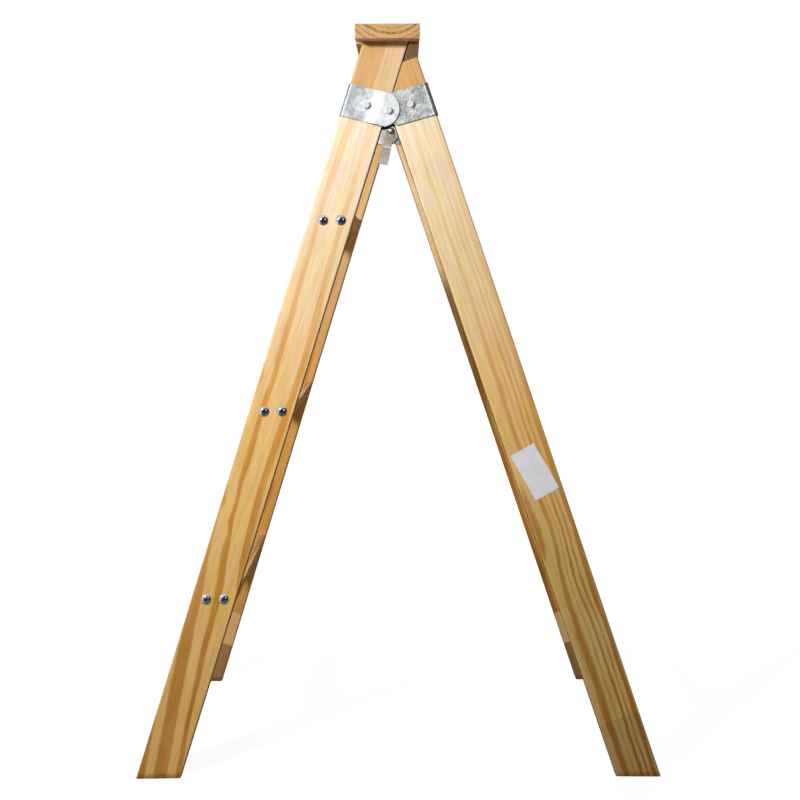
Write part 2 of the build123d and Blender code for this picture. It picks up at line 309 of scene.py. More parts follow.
class NodeMaker:
    """Short hand for building a shader tree."""

    def __init__(self, tree: bpy.types.NodeTree) -> None:
        """Keep the tree of a material or a world and empty it."""
        self.tree = tree
        tree.nodes.clear()

    def node(self, kind: str, *inputs: object, **settings: object) -> bpy.types.Node:
        """Add a node.

        Args:
            kind: node type without its ShaderNode prefix.
            inputs: wires or values for its first inputs, in order.
            settings: properties set on the node.

        Returns:
            The new node.
        """
        made = self.tree.nodes.new("ShaderNode" + kind)
        for name, value in settings.items():
            setattr(made, name, value)
        for socket, value in zip(made.inputs, inputs):
            self.feed(socket, value)
        return made

    def feed(self, socket: bpy.types.NodeSocket, value: object) -> None:
        """Link a socket to a wire, or set its value.

        Args:
            socket: input socket.
            value: wire, number, colour or vector.
        """
        if isinstance(value, Wire):
            self.tree.links.new(value.socket, socket)
        else:
            socket.default_value = value

    def wire(self, kind: str, *inputs: object, output: Union[int, str] = 0, **settings: object) -> Wire:
        """Add a node, as node does, and take one of its outputs."""
        return Wire(self, self.node(kind, *inputs, **settings).outputs[output])

    def constant(self, value: float) -> Wire:
        """A fixed number that others are added to."""
        return self.wire("Math", value, 0.0, operation="ADD")

    def vector(self, operation: str, *values: object) -> Wire:
        """Vector arithmetic.

        Args:
            operation: name of the Vector Math node's operation.
            values: its inputs, in order.

        Returns:
            The resulting vector, or number where the operation gives one.
        """
        gives_number = operation in ("LENGTH", "DOT_PRODUCT")
        return self.wire("VectorMath", *values, output=int(gives_number), operation=operation)

    def mix(self, factor: Value, first: Shade, second: Shade, blend: str = "MIX") -> Wire:
        """Mix two colours.

        Args:
            factor: share of the second colour.
            first: first colour.
            second: second colour.
            blend: name of the blend.

        Returns:
            The mixed colour.
        """
        made = self.node("Mix", data_type="RGBA", blend_type=blend)
        for number, value in ((0, factor), (6, first), (7, second)):
            self.feed(made.inputs[number], value)
        return Wire(self, made.outputs[2])

    def tinted(self, colour: Shade, tint: Shade) -> Wire:
        """Product of two colours."""
        return self.mix(1.0, colour, tint, "MULTIPLY")

    def noise(self, points: Wire, size: Triple, detail: float = 2.0, rough: float = 0.5,
              colour: bool = False) -> Wire:
        """Cloudy noise.

        Args:
            points: coordinates.
            size: size of its features along each axis, in the coordinates' unit.
            detail: number of finer layers.
            rough: strength of the finer layers.
            colour: take its three values instead of one.

        Returns:
            The noise, from about 0 to 1.
        """
        scaled = self.vector("MULTIPLY", points, tuple(1 / side for side in size))
        made = self.node("TexNoise", noise_dimensions="3D")
        for name, value in (("Vector", scaled), ("Scale", 1.0), ("Detail", detail), ("Roughness", rough)):
            self.feed(made.inputs[name], value)
        return Wire(self, made.outputs[int(colour)])

    def coords(self, output: str = "Object") -> Wire:
        """Texture coordinates."""
        return self.wire("TexCoord", output=output)

    def millimetres(self) -> Wire:
        """Object coordinates in millimetres."""
        return self.vector("MULTIPLY", self.coords(), (1 / MM,) * 3)

    def local(self, axes: Axes) -> tuple[Wire, Wire]:
        """Place and normal of the surface in a board's own axes.

        Args:
            axes: the board's axes.

        Returns:
            Across, depth and along in millimetres, and the normal's parts along them.
        """
        location, rotation = axes.mapping()
        unmirror = (1.0, axes.handed(), 1.0)
        points = self.wire("Mapping", self.coords(), location, rotation, (1 / MM,) * 3)
        normal = self.wire("Mapping", self.coords("Normal"), (0, 0, 0), rotation, (1, 1, 1))
        return self.vector("MULTIPLY", points, unmirror), self.vector("MULTIPLY", normal, unmirror)

    def bump(self, height: Wire, strength: float, distance: float) -> Wire:
        """Normal from a height.

        Args:
            height: height from 0 to 1.
            strength: how much of it counts.
            distance: depth of a full step, in metres.

        Returns:
            The bent normal.
        """
        made = self.node("Bump")
        for name, value in (("Strength", strength), ("Distance", distance), ("Height", height)):
            self.feed(made.inputs[name], value)
        return Wire(self, made.outputs[0])

    def principled(self, **inputs: object) -> None:
        """Shade the surface.

        Args:
            inputs: the shader's inputs by name, with _ for each space.
        """
        shader = self.node("BsdfPrincipled")
        for name, value in inputs.items():
            self.feed(shader.inputs[name.replace("_", " ")], value)
        self.output(shader)

    def between(self, share: Wire, first: bpy.types.Node, second: bpy.types.Node) -> bpy.types.Node:
        """A shader between two others.

        Args:
            share: share of the second one.
            first: first shader.
            second: second shader.

        Returns:
            The mixed shader.
        """
        both = self.node("MixShader", share)
        for socket, shader in zip(both.inputs[1:], (first, second)):
            self.tree.links.new(shader.outputs[0], socket)
        return both

    def output(self, shader: bpy.types.Node, kind: str = "OutputMaterial") -> None:
        """Send a shader to the tree's output."""
        self.tree.links.new(shader.outputs[0], self.node(kind).inputs["Surface"])


def new_material(name: str) -> tuple[bpy.types.Material, NodeMaker]:
    """Start an empty material.

    Args:
        name: its name.

    Returns:
        The material and a maker for its tree.
    """
    material = bpy.data.materials.new(name)
    material.use_nodes = True
    return material, NodeMaker(material.node_tree)


@dataclass(frozen=True)
class Swirl:
    """A place where the grain flows round a small knot, in board millimetres."""

    across: float
    along: float
    reach: float
    push: float


@dataclass(frozen=True)
class Band:
    """A broad band of late wood on the outer face, in millimetres from the heart line, below top."""

    start: float
    end: float
    weight: float
    soft: float
    top: float = 1000.0


@dataclass(frozen=True)
class Sawn:
    """How one board was sawn from its log, in board millimetres.

    The pith is a straight line at (across, depth) where along is zero, and it drifts by the two
    lean values for each millimetre along the board. Below bend_start the trunk bends by bend_rate.
    Joints are the places along the board where finger-jointed lengths meet, from the top down.
    Whole lengths can take colours of their own, with the length's number from the top: a pale one is a
    painted pool of light, a dark one darkens the foot.
    Edge is where the inner edge runs along the board, if it has one; beside it a painted highlight lies along
    the arris of the outer face, and painted shade on the inner edge face.
    Calm is the share of the late wood that fades away towards the top. Top_split is where the top length's
    tint sets in, across. On the far stiles, the near rear foot and the treads, tint and foot_tint are painted
    shade.
    """

    across: float
    depth: float
    lean_across: float = 0.0
    lean_depth: float = 0.0
    ring: float = 6.5
    bend_start: float = -5000.0
    bend_rate: float = 0.0
    seed: float = 0.0
    wobble: float = 1.4
    swirls: tuple[Swirl, ...] = ()
    bands: tuple[Band, ...] = ()
    calm: float = 0.0
    joints: tuple[float, ...] = ()
    stocks: tuple[tuple[int, Colour], ...] = ()
    tint: Colour = WHITE
    foot_tint: Colour = WHITE
    foot_length: Colour = srgb(244, 238, 230)
    top_split: float = -1000.0
    edge: Optional[float] = None


@dataclass(frozen=True)
class Pine:
    """Planed pine: pale early wood, amber late wood, fine fibres, paler and greyer towards the top with a
    painted sheen.

    The early and late colours are for the foot, the middle and the top of the ladder; a painted sheen makes
    the top ones paler and greyer. The size of a pattern is its reach across, through and along a board in
    millimetres. A tone is a range and the range of shade or share that it becomes. A facing is a range of one
    part of the normal, and a span is a range along the board, or from its heart line, in millimetres. Heights
    are metres above the floor.
    """

    # The top colours are paler and greyer than the foot ones: a painted sheen.
    early: tuple[Colour, Colour, Colour] = (srgb(242, 199, 121), srgb(247, 205, 134), srgb(249, 231, 203))
    late: tuple[Colour, Colour, Colour] = (srgb(195, 134, 60), srgb(224, 159, 74), srgb(250, 215, 168))
    heights: Triple = (0.15, 0.60, 1.00)
    tint_heights: Pair = (0.2, 0.65)
    resin: Colour = srgb(140, 84, 40)
    scuff: Colour = srgb(104, 66, 38)
    scuff_height: float = 0.022
    end_early: Colour = srgb(228, 192, 146)
    end_late: Colour = srgb(150, 96, 52)
    length_tints: tuple[Colour, ...] = (srgb(222, 192, 152), WHITE, srgb(255, 252, 246))
    main_length: int = 1
    stock_figure: tuple[Colour, Colour] = (WHITE, srgb(240, 231, 218))
    stock_shares: Pair = (0.35, 0.9)
    # Painted highlight along the arris of the outer face, beside the inner edge.
    arris: tuple[Colour, Colour] = (srgb(255, 214, 138), srgb(255, 243, 212))
    arris_span: Pair = (-1000.0, -250.0)
    # Painted shade on the inner edge face, darkest near the hinge.
    rubbed: tuple[Colour, Colour] = (srgb(205, 186, 162), srgb(76, 50, 32))
    rubbed_span: Pair = (-170.0, -30.0)
    calm_span: Pair = (-800.0, -350.0)
    sheen: float = 0.03
    relief: float = 0.22 * MM
    finger_pitch: float = 4.4
    finger_reach: float = 9.0
    slow_size: Triple = (90.0, 90.0, 330.0)
    slow_push: Pair = (6.0, 3.5)
    quick_size: Triple = (20.0, 20.0, 90.0)
    fray_size: Triple = (2.4, 2.4, 60.0)
    fray: float = 1.7
    dot_size: Triple = (1.25, 1.25, 1.25)
    fibre_size: Triple = (1.1, 1.1, 70.0)
    streak_size: Triple = (3.6, 3.6, 80.0)
    cloud_size: Triple = (22.0, 22.0, 90.0)
    dash_size: Triple = (0.55, 0.55, 7.0)
    patch_size: Triple = (9.0, 9.0, 6.0)
    grit_size: Triple = (0.5, 0.5, 9.0)
    vigour: Ramp = (0.3, 0.7, 0.8, 1.15)
    fibre_tone: Ramp = (0.25, 0.75, 0.87, 1.09)
    cloud_tone: Ramp = (0.25, 0.75, 0.90, 1.06)
    streak_tone: Ramp = (0.3, 0.7, 0.91, 1.07)
    line_tone: Ramp = (0.3, 0.7, 0.94, 1.04)
    blush_tone: Ramp = (0.3, 0.7, 0.88, 1.1)
    dot_tone: Ramp = (0.38, 0.6, 0.25, 1.0)
    dash_tone: Ramp = (0.66, 0.76, 0.0, 0.3)
    scuff_tone: Ramp = (0.1, 0.6, 0.0, 0.55)
    scuff_level: Pair = (0.55, -0.5)
    end_facing: Pair = (0.75, 0.95)
    stock_facing: Pair = (0.2, 0.8)
    outer_facing: Pair = (0.8, 0.95)
    inner_facing: Pair = (-0.9, -0.5)
    matt_facing: Pair = (-0.9, -0.6)
    arris_width: Pair = (1.0, 3.6)
    arris_share: float = 0.65
    face_depth: float = 2.0
    seam_width: Pair = (0.15, 0.6)
    seam_share: float = 0.22
    split_half: float = 2.0
    split_share: float = 0.6
    top_seed: float = 37.0
    seed_shift: float = 91.0
    seed_rate: float = 0.731
    ring_weight: Pair = (0.5, 1.0)
    ring_start: Pair = (0.20, 0.50)
    ring_rise: float = 0.32
    ring_drop: Pair = (0.90, 1.0)
    line_rate: float = 0.9
    bend_ease: float = 120.0
    swirl_stretch: float = 2.2
    band_stray: float = 1.8
    band_fade: float = 60.0
    plain_span: Pair = (66.0, 80.0)
    top_plain: float = 0.55
    end_power: float = 1.6
    red_power: float = 0.7
    blue_power: float = 1.4
    late_rough: Pair = (0.84, 0.70)
    grit_rough: Ramp = (0.3, 0.7, -0.06, 0.08)
    late_relief: float = 0.5
    grit_relief: float = 0.45
    seam_relief: float = 0.6
    bump: float = 0.3


class PineBoard:
    """The shader of one pine board, worked out in the board's own axes."""

    def __init__(self, pine: Pine, name: str, axes: Axes, sawn: Sawn) -> None:
        """Make the board's material, which reads Object coordinates.

        Args:
            pine: colours and sizes of the wood.
            name: material name.
            axes: the board's own axes.
            sawn: how it was sawn from its log.
        """
        self.pine, self.sawn = pine, sawn
        self.material, self.make = new_material(name)
        self.board, normal = self.make.local(axes)
        self.across, self.depth, self.along = self.board.split()
        self.sideways, self.inward, self.lengthways = normal.split()
        self.height = self.make.coords().split()[2]
        self.length, self.seam = self._lengths()
        self.late, self.lines = self._rings()
        self._shade()

    def _shade(self) -> None:
        """Put colour, sheen, roughness and relief on the board; its inner edge stays matt."""
        pine, make = self.pine, self.make
        colour = self._jointed(self._weathered(self._stocked(self._clean())))
        grit = make.noise(self.board, pine.grit_size, 3.0, 0.6)
        rough = self.late.carry(0.0, 1.0, *pine.late_rough) + grit.carry(*pine.grit_rough)
        relief = self.late * pine.late_relief + grit * pine.grit_relief - self.seam * pine.seam_relief
        sheen = self.sideways.ease(*pine.matt_facing, 0.0, pine.sheen)
        make.principled(Base_Color=colour, Specular_IOR_Level=sheen, Roughness=rough,
                        Normal=make.bump(relief, pine.bump, pine.relief))

    def _lengths(self) -> tuple[Wire, Wire]:
        """Number the finger-jointed lengths of a board from its top.

        A joint is a line across the face whose fingers zigzag through the depth as a triangle wave.

        Returns:
            The length's number, and a thin line along each joint.
        """
        pine = self.pine
        fingers = self.depth.op("PINGPONG", pine.finger_pitch / 2)
        level = self.along + fingers * (2 * pine.finger_reach / pine.finger_pitch)
        number = self.make.constant(0.0 if self.sawn.joints else float(pine.main_length))
        line = self.make.constant(0.0)
        for joint in self.sawn.joints:
            number = number + level.op("LESS_THAN", joint)
            line = line.op("MAXIMUM", abs(level - joint).ease(*pine.seam_width, 1.0, 0.0))
        return number, line

    def _on_length(self, number: int) -> Wire:
        """1 on the finger-jointed length of that number."""
        return self.length.op("COMPARE", float(number), 0.1)

    def _rings(self) -> tuple[Wire, Wire]:
        """Late wood from the distance to the pith.

        The distance is the length of the part of (board - pith line) that lies across the board,
        after a slow wave and the trunk's bend, plus what strays round knots and by a quick wave.

        Returns:
            Late wood from 0 to 1, and faint lines between the rings from 0 to 1.
        """
        pine, sawn, make = self.pine, self.sawn, self.make
        above = self.length.op("LESS_THAN", pine.main_length - 0.5)
        seed = above * pine.top_seed + sawn.seed
        seeded = make.vector("ADD", self.board, make.wire("CombineXYZ", 0.0, 0.0, seed * pine.seed_shift))
        slow_x, slow_y, _ = make.noise(seeded, pine.slow_size, 1.0, colour=True).split()
        quick_x, quick_y, _ = make.noise(seeded, pine.quick_size, 3.0, 0.55, colour=True).split()
        bend = (sawn.bend_start - self.along).op("SMOOTH_MAX", 0.0, pine.bend_ease) * sawn.bend_rate
        push_x, push_y = pine.slow_push
        from_x = self.across - (self.along * sawn.lean_across + sawn.across) + bend
        from_x = from_x + slow_x.carry(0.0, 1.0, -push_x, push_x)
        from_y = self.depth - (self.along * sawn.lean_depth + sawn.depth)
        from_y = from_y + slow_y.carry(0.0, 1.0, -push_y, push_y)
        square = from_x * from_x + from_y * from_y
        stray = quick_x.carry(0.0, 1.0, -sawn.wobble, sawn.wobble)
        for swirl in sawn.swirls:
            stray = stray + self._push(swirl)
        radius = square.op("SQRT") + stray
        vigour = quick_y.carry(*pine.vigour)
        late = self._yearly(radius, seed).op("MULTIPLY", vigour, clamp=True)
        if sawn.bands:
            heart = (square - sawn.depth ** 2).op("MAXIMUM", 0.0).op("SQRT") + stray * pine.band_stray
            frayed = make.noise(seeded, pine.fray_size, 3.0, 0.65)
            heart = heart + frayed.carry(0.2, 0.8, -pine.fray, pine.fray)
            plain = heart.ease(*pine.plain_span).op("MAXIMUM", above * pine.top_plain)
            late = self._banded(late * plain, heart, vigour)
        late = late * self.along.ease(*pine.calm_span, 1.0, 1 - sawn.calm)
        lines = make.node("TexNoise", noise_dimensions="1D")
        make.feed(lines.inputs["W"], radius * pine.line_rate)
        make.feed(lines.inputs["Detail"], 3.0)
        return late, Wire(make, lines.outputs[0])

    def _banded(self, late: Wire, heart: Wire, vigour: Wire) -> Wire:
        """Lay the broad bands over the late wood.

        Args:
            late: late wood of the regular rings.
            heart: distance from the heart line on the outer face, which is the square root of
                (distance to the pith squared - pith depth squared), frayed.
            vigour: strength from place to place.

        Returns:
            Late wood from 0 to 1.
        """
        for band in self.sawn.bands:
            enter = heart.ease(band.start - band.soft, band.start + band.soft, 0.0, band.weight)
            leave = heart.ease(band.end - 2 * band.soft, band.end + 2 * band.soft, 1.0, 0.0)
            here = (enter * leave).op("MULTIPLY", vigour, clamp=True)
            below = self.along.ease(band.top - self.pine.band_fade, band.top, 1.0, 0.0)
            late = late.op("MAXIMUM", here * below)
        return late

    def _yearly(self, radius: Wire, seed: Wire) -> Wire:
        """Late wood of regular rings, each with a start and a strength of its own.

        Args:
            radius: distance from the pith in millimetres.
            seed: random seed.

        Returns:
            Late wood from 0 to 1.
        """
        pine, make = self.pine, self.make
        rings = radius / self.sawn.ring
        share = rings.op("FRACT")
        chance = make.node("TexWhiteNoise", noise_dimensions="1D")
        make.feed(chance.inputs["W"], seed.op("MULTIPLY_ADD", pine.seed_rate, rings.op("FLOOR")))
        weight = Wire(make, chance.outputs["Value"]).carry(0.0, 1.0, *pine.ring_weight)
        start = Wire(make, chance.outputs["Color"]).split()[1].carry(0.0, 1.0, *pine.ring_start)
        return share.ease(start, start + pine.ring_rise) * share.ease(*pine.ring_drop, 1.0, 0.0) * weight

    def _push(self, swirl: Swirl) -> Wire:
        """Bell-shaped push on the rings round a small knot.

        Args:
            swirl: the knot.

        Returns:
            push * exp(-distance squared), with the distance in reaches, stretched along the board.
        """
        x = (self.across - swirl.across) / swirl.reach
        z = (self.along - swirl.along) / (self.pine.swirl_stretch * swirl.reach)
        return (-(x * x + z * z)).op("EXPONENT") * swirl.push

    def _clean(self) -> Wire:
        """Clean wood: early and late colours mixed by the height above the floor, paler at the top with a
        painted sheen, dotted rings on ends.

        Returns:
            The colour.
        """
        pine, make = self.pine, self.make
        foot, middle, top = pine.heights
        lower, upper = self.height.carry(foot, middle), self.height.carry(middle, top)
        early, dark = (make.mix(upper, make.mix(lower, tones[0], tones[1]), tones[2])
                       for tones in (pine.early, pine.late))
        dots = make.noise(self.board, pine.dot_size).ease(*pine.dot_tone)
        cut = make.mix(self.late ** pine.end_power * dots, pine.end_early, pine.end_late)
        end = abs(self.lengthways).ease(*pine.end_facing)
        return make.mix(end, make.mix(self.late, early, dark), cut)

    def _stocked(self, colour: Wire) -> Wire:
        """Lay colours over whole lengths, most of all on the inner face: on a pale length a painted pool of
        light, on a dark one a darker foot.

        Args:
            colour: clean wood.

        Returns:
            The colour, ahead of the board's own tint, which is divided out here.
        """
        pine, make = self.pine, self.make
        # A pale length is a painted pool of light; a dark one darkens the foot.
        for number, length_colour in self.sawn.stocks:
            share = self.inward.ease(*pine.stock_facing, *pine.stock_shares)
            figured = make.tinted(length_colour, make.mix(self.late, *pine.stock_figure))
            untinted = make.mix(1.0, figured, self.sawn.foot_tint, "DIVIDE")
            colour = make.mix(self._on_length(number) * share, colour, untinted)
        return colour

    def _weathered(self, colour: Wire) -> Wire:
        """Fibres, cloudy tone, faint growth lines, resin dashes, and scuffs where the board meets the floor.

        Args:
            colour: clean wood.

        Returns:
            The worn colour.
        """
        pine, sawn, make, board = self.pine, self.sawn, self.make, self.board
        fibre = make.noise(board, pine.fibre_size, 3.0, 0.65)
        streak = make.noise(board, pine.streak_size, 2.0, 0.6)
        cloud, blush, _ = make.noise(board, pine.cloud_size, 3.0, colour=True).split()
        shade = fibre.carry(*pine.fibre_tone) * cloud.carry(*pine.cloud_tone)
        shade = shade * streak.carry(*pine.streak_tone) * self.lines.carry(*pine.line_tone)
        deep = shade ** pine.blue_power * blush.ease(*pine.blush_tone)
        # A board's tint and foot tint; on boards that stand in shade they are painted shade.
        tint = make.mix(self.height.ease(*pine.tint_heights), sawn.foot_tint, sawn.tint)
        warm = make.tinted(make.wire("CombineXYZ", shade ** pine.red_power, shade, deep), tint)
        dash = make.noise(board, pine.dash_size, 1.0)
        colour = make.mix(dash.ease(*pine.dash_tone), make.tinted(colour, warm), pine.resin)
        if sawn.edge is not None:
            colour = self._edged(colour, warm, sawn.edge)
        patch = make.noise(board, pine.patch_size, 3.0, 0.6)
        low = self.height.ease(0.0, pine.scuff_height, *pine.scuff_level) + (patch - 0.5)
        return make.mix(low.ease(*pine.scuff_tone), colour, pine.scuff)

    def _edged(self, colour: Wire, warm: Wire, edge: float) -> Wire:
        """Painted highlight along the arris of the outer face, and painted shade on the inner edge face,
        darkest near the hinge.

        Args:
            colour: worn colour.
            warm: its shade.
            edge: place of the inner edge across the board.

        Returns:
            The colour with its edges.
        """
        pine, make = self.pine, self.make
        # Painted highlight along the arris of the outer face, beside the inner edge.
        outer = abs(self.inward).ease(*pine.outer_facing) * self.depth.op("LESS_THAN", pine.face_depth)
        start, end = (edge + width for width in pine.arris_width)
        arris = self.across.ease(start, end, pine.arris_share, 0.0) * outer
        bright = make.mix(self.along.ease(*pine.arris_span), *pine.arris)
        colour = make.mix(arris, colour, make.tinted(bright, warm))
        # Painted shade on the inner edge face, darkest near the hinge.
        rubbed = make.mix(self.along.ease(*pine.rubbed_span), *pine.rubbed)
        inner = self.sideways.ease(*pine.inner_facing, 1.0, 0.0)
        return make.mix(inner, colour, make.tinted(colour, rubbed))

    def _jointed(self, colour: Wire) -> Wire:
        """Tint each finger-jointed length and draw the thin lines between them.

        Args:
            colour: worn colour.

        Returns:
            The finished colour.
        """
        pine, sawn, make = self.pine, self.sawn, self.make
        for number, tint in enumerate((*pine.length_tints, sawn.foot_length) if sawn.joints else ()):
            here = self._on_length(number)
            if number == 0:
                low, high = sawn.top_split - pine.split_half, sawn.top_split + pine.split_half
                here = here * self.across.ease(low, high, pine.split_share, 1.0)
            colour = make.mix(here, colour, make.tinted(colour, tint))
        return make.mix(self.seam * pine.seam_share, colour, pine.resin)


@dataclass(frozen=True)
class Crease:
    """A painted highlight or shade along a fold: its middle across the stile and half width in millimetres,
    share and colour.
    """

    middle: float
    half: float
    share: float
    colour: Colour = DARK_SPECK_AND_SHADE


@dataclass(frozen=True)
class GalvanisedSheet:
    """Hot-dipped sheet: crystal spangle, cloudy matt bloom, dark specks; painted shade on the bare cut edges,
    the back of the fold and the inner skins, and painted shade and highlights along the folds.

    Sizes are in millimetres. From shift_span's start to its end across the stile, the level drops by
    twice the fade, and the clouds' swing goes from its first value to its second.
    """

    bright: Colour = srgb(240, 243, 245)
    dull: Colour = srgb(168, 175, 180)
    spangle: float = 4.5
    bloom: float = 0.5
    fade: float = 0.0
    swing: Pair = (0.28, 0.28)
    specks: float = 0.25
    creases: tuple[Crease, ...] = ()
    metal: Pair = (0.4, 0.1)
    # Cut edges are bare steel darkened further with painted shade, and the same colour is painted shade on
    # the inner skins; back is painted shade on the back of the fold.
    cut_edge: Colour = srgb(58, 58, 60)
    back: Colour = srgb(172, 178, 183)
    leaf_end: float = 62.0
    shift_span: Pair = (12.0, 60.0)
    warp: float = 4.0
    warp_size: Triple = (5.0, 5.0, 5.0)
    fine_size: Triple = (1.2, 1.2, 1.2)
    cloud_size: Triple = (14.0, 14.0, 14.0)
    speck_size: Triple = (1.4, 1.4, 3.4)
    relief: float = 0.12 * MM
    bump: float = 0.25
    crystal_share: float = 0.34
    crystal_relief: float = 0.5
    crystal_rough: Pair = (0.34, 0.48)
    fine_share: float = 0.5
    fine_rough: Ramp = (0.3, 0.7, -0.05, 0.08)
    pattern_mean: float = 0.4
    cloud_tone: Ramp = (0.32, 0.68, -1.0, 1.0)
    speck_span: Pair = (0.50, 0.66)
    crease_soft: Pair = (0.6, 1.2)
    back_facing: Pair = (0.4, 0.9)
    cut_facing: Pair = (0.55, 0.8)
    hidden_tone: Ramp = (-9.0, -4.0, 0.9, 0.0)

    def material(self, name: str, axes: Axes) -> bpy.types.Material:
        """Make the sheet's material.

        Args:
            name: material name.
            axes: axes of the stile that carries the sheet; folds are at places across it.

        Returns:
            The material, which reads Object coordinates.
        """
        material, make = new_material(name)
        points, normal = make.local(axes)
        across = points.split()[0]
        place = make.millimetres()
        warp = make.noise(place, self.warp_size, colour=True)
        place = make.vector("ADD", place, make.vector("MULTIPLY", warp, (self.warp,) * 3))
        cells = make.node("TexVoronoi", voronoi_dimensions="3D", feature="F1")
        make.feed(cells.inputs["Scale"], 1 / self.spangle)
        make.feed(cells.inputs["Vector"], place)
        crystal = Wire(make, cells.outputs["Color"]).split()[0]
        fine = make.noise(place, self.fine_size, 3.0, 0.6)
        cloud = make.noise(place, self.cloud_size, 3.0, 0.65).ease(*self.cloud_tone)
        level = crystal * self.crystal_share + fine * self.fine_share
        level = level + cloud * across.ease(*self.shift_span, *self.swing)
        level = level + across.ease(*self.shift_span, self.fade, -self.fade)
        level = level.op("ADD", self.bloom - self.pattern_mean, clamp=True)
        speck = make.noise(place, self.speck_size, 2.0, 0.7).ease(*self.speck_span, 0.0, self.specks)
        colour = make.mix(speck, make.mix(level, self.dull, self.bright), DARK_SPECK_AND_SHADE)
        for crease in self.creases:
            start, end = (share * crease.half for share in self.crease_soft)
            here = abs(across - crease.middle).ease(start, end, crease.share, 0.0)
            colour = make.mix(here, colour, crease.colour)
        rough = crystal.carry(0.0, 1.0, *self.crystal_rough) + fine.carry(*self.fine_rough)
        make.principled(Base_Color=self._faced(colour, points, normal), Roughness=rough,
                        Metallic=level.ease(0.0, 1.0, *self.metal),
                        Normal=make.bump(crystal * self.crystal_relief + fine, self.bump, self.relief))
        return material

    def _faced(self, colour: Wire, points: Wire, normal: Wire) -> Wire:
        """Painted shade on the back of the fold, the bare cut edges and the inner skins, by the way they
        face.

        On a leaf a cut edge faces along or across the stile; round the fold it faces along the stile.
        An inner skin faces the middle of the stile from either side.

        Args:
            colour: colour of the outer skin.
            points: place in the stile's axes, in millimetres.
            normal: normal in the stile's axes.

        Returns:
            The colour of all faces.
        """
        make = colour.make
        across, depth, _ = points.split()
        sideways, inward, lengthways = normal.split()
        # Painted shade on the back of the fold.
        back = sideways.ease(*self.back_facing) * across.op("GREATER_THAN", self.leaf_end)
        colour = make.mix(back, colour, make.tinted(colour, self.back))
        on_leaf = abs(sideways) * across.op("LESS_THAN", self.leaf_end)
        cut = on_leaf.op("MAXIMUM", abs(lengthways)).ease(*self.cut_facing)
        # Painted shade on the inner skins and the cut edges, which are also bare steel.
        from_middle = depth - LAYOUT.stile_thickness / MM / 2
        inner_skin_shade = (from_middle * inward).ease(*self.hidden_tone)
        return make.mix(cut.op("MAXIMUM", inner_skin_shade), colour, self.cut_edge)


@dataclass(frozen=True)
class ZincPlate:
    """Zinc plating on small fasteners: a faint blue cast, and handling marks sized in millimetres."""

    bright: Colour = srgb(216, 221, 226)
    dull: Colour = srgb(150, 157, 168)
    metal: float = 1.0
    rough: Pair = (0.24, 0.12)
    mark_size: Triple = (1.6, 1.6, 1.6)
    mark_span: Pair = (0.3, 0.7)
    relief: float = 0.05 * MM
    bump: float = 0.15

    def material(self, name: str) -> bpy.types.Material:
        """Make the plating's material.

        Args:
            name: material name.

        Returns:
            The material, which reads Object coordinates.
        """
        material, make = new_material(name)
        marks = make.noise(make.millimetres(), self.mark_size, 4.0, 0.6)
        make.principled(Base_Color=make.mix(marks.ease(*self.mark_span), self.dull, self.bright),
                        Metallic=self.metal, Roughness=marks.carry(*self.mark_span, *self.rough),
                        Normal=make.bump(marks, self.bump, self.relief))
        return material


@dataclass(frozen=True)
class Paper:
    """Blank sticker paper: nearly white, with grey clouds and pulp sized in millimetres."""

    sheet: Colour = srgb(253, 252, 255)
    worn: Colour = srgb(235, 233, 243)
    cloud_size: Triple = (14.0, 14.0, 14.0)
    pulp_size: Triple = (0.6, 0.6, 0.6)
    cloud_tone: Ramp = (0.4, 0.75, 0.0, 0.6)
    pulp_tone: Ramp = (0.4, 0.8, 0.0, 0.25)
    rough: Ramp = (0.3, 0.7, 0.42, 0.60)
    relief: float = 0.08 * MM
    bump: float = 0.2

    def material(self, name: str) -> bpy.types.Material:
        """Make the paper's material.

        Args:
            name: material name.

        Returns:
            The material, which reads Object coordinates.
        """
        material, make = new_material(name)
        place = make.millimetres()
        cloud = make.noise(place, self.cloud_size, 4.0, 0.6)
        pulp = make.noise(place, self.pulp_size)
        level = cloud.ease(*self.cloud_tone).op("ADD", pulp.ease(*self.pulp_tone), clamp=True)
        make.principled(Base_Color=make.mix(level, self.sheet, self.worn),
                        Roughness=pulp.carry(*self.rough),
                        Normal=make.bump(cloud + pulp, self.bump, self.relief))
        return material


@dataclass(frozen=True)
class PieceTag:
    """What a new piece is called, rides on and stands for."""

    name: str
    body: str
    stands_for: tuple[str, ...] = ()
    slot: str = "zinc_fasteners"


# Degrees past which an edge stays crisp, and metres below which points are joined and edges dropped.
SHARP_ANGLE = 38.0
WELD = 2e-6
SLIVER = 1e-7


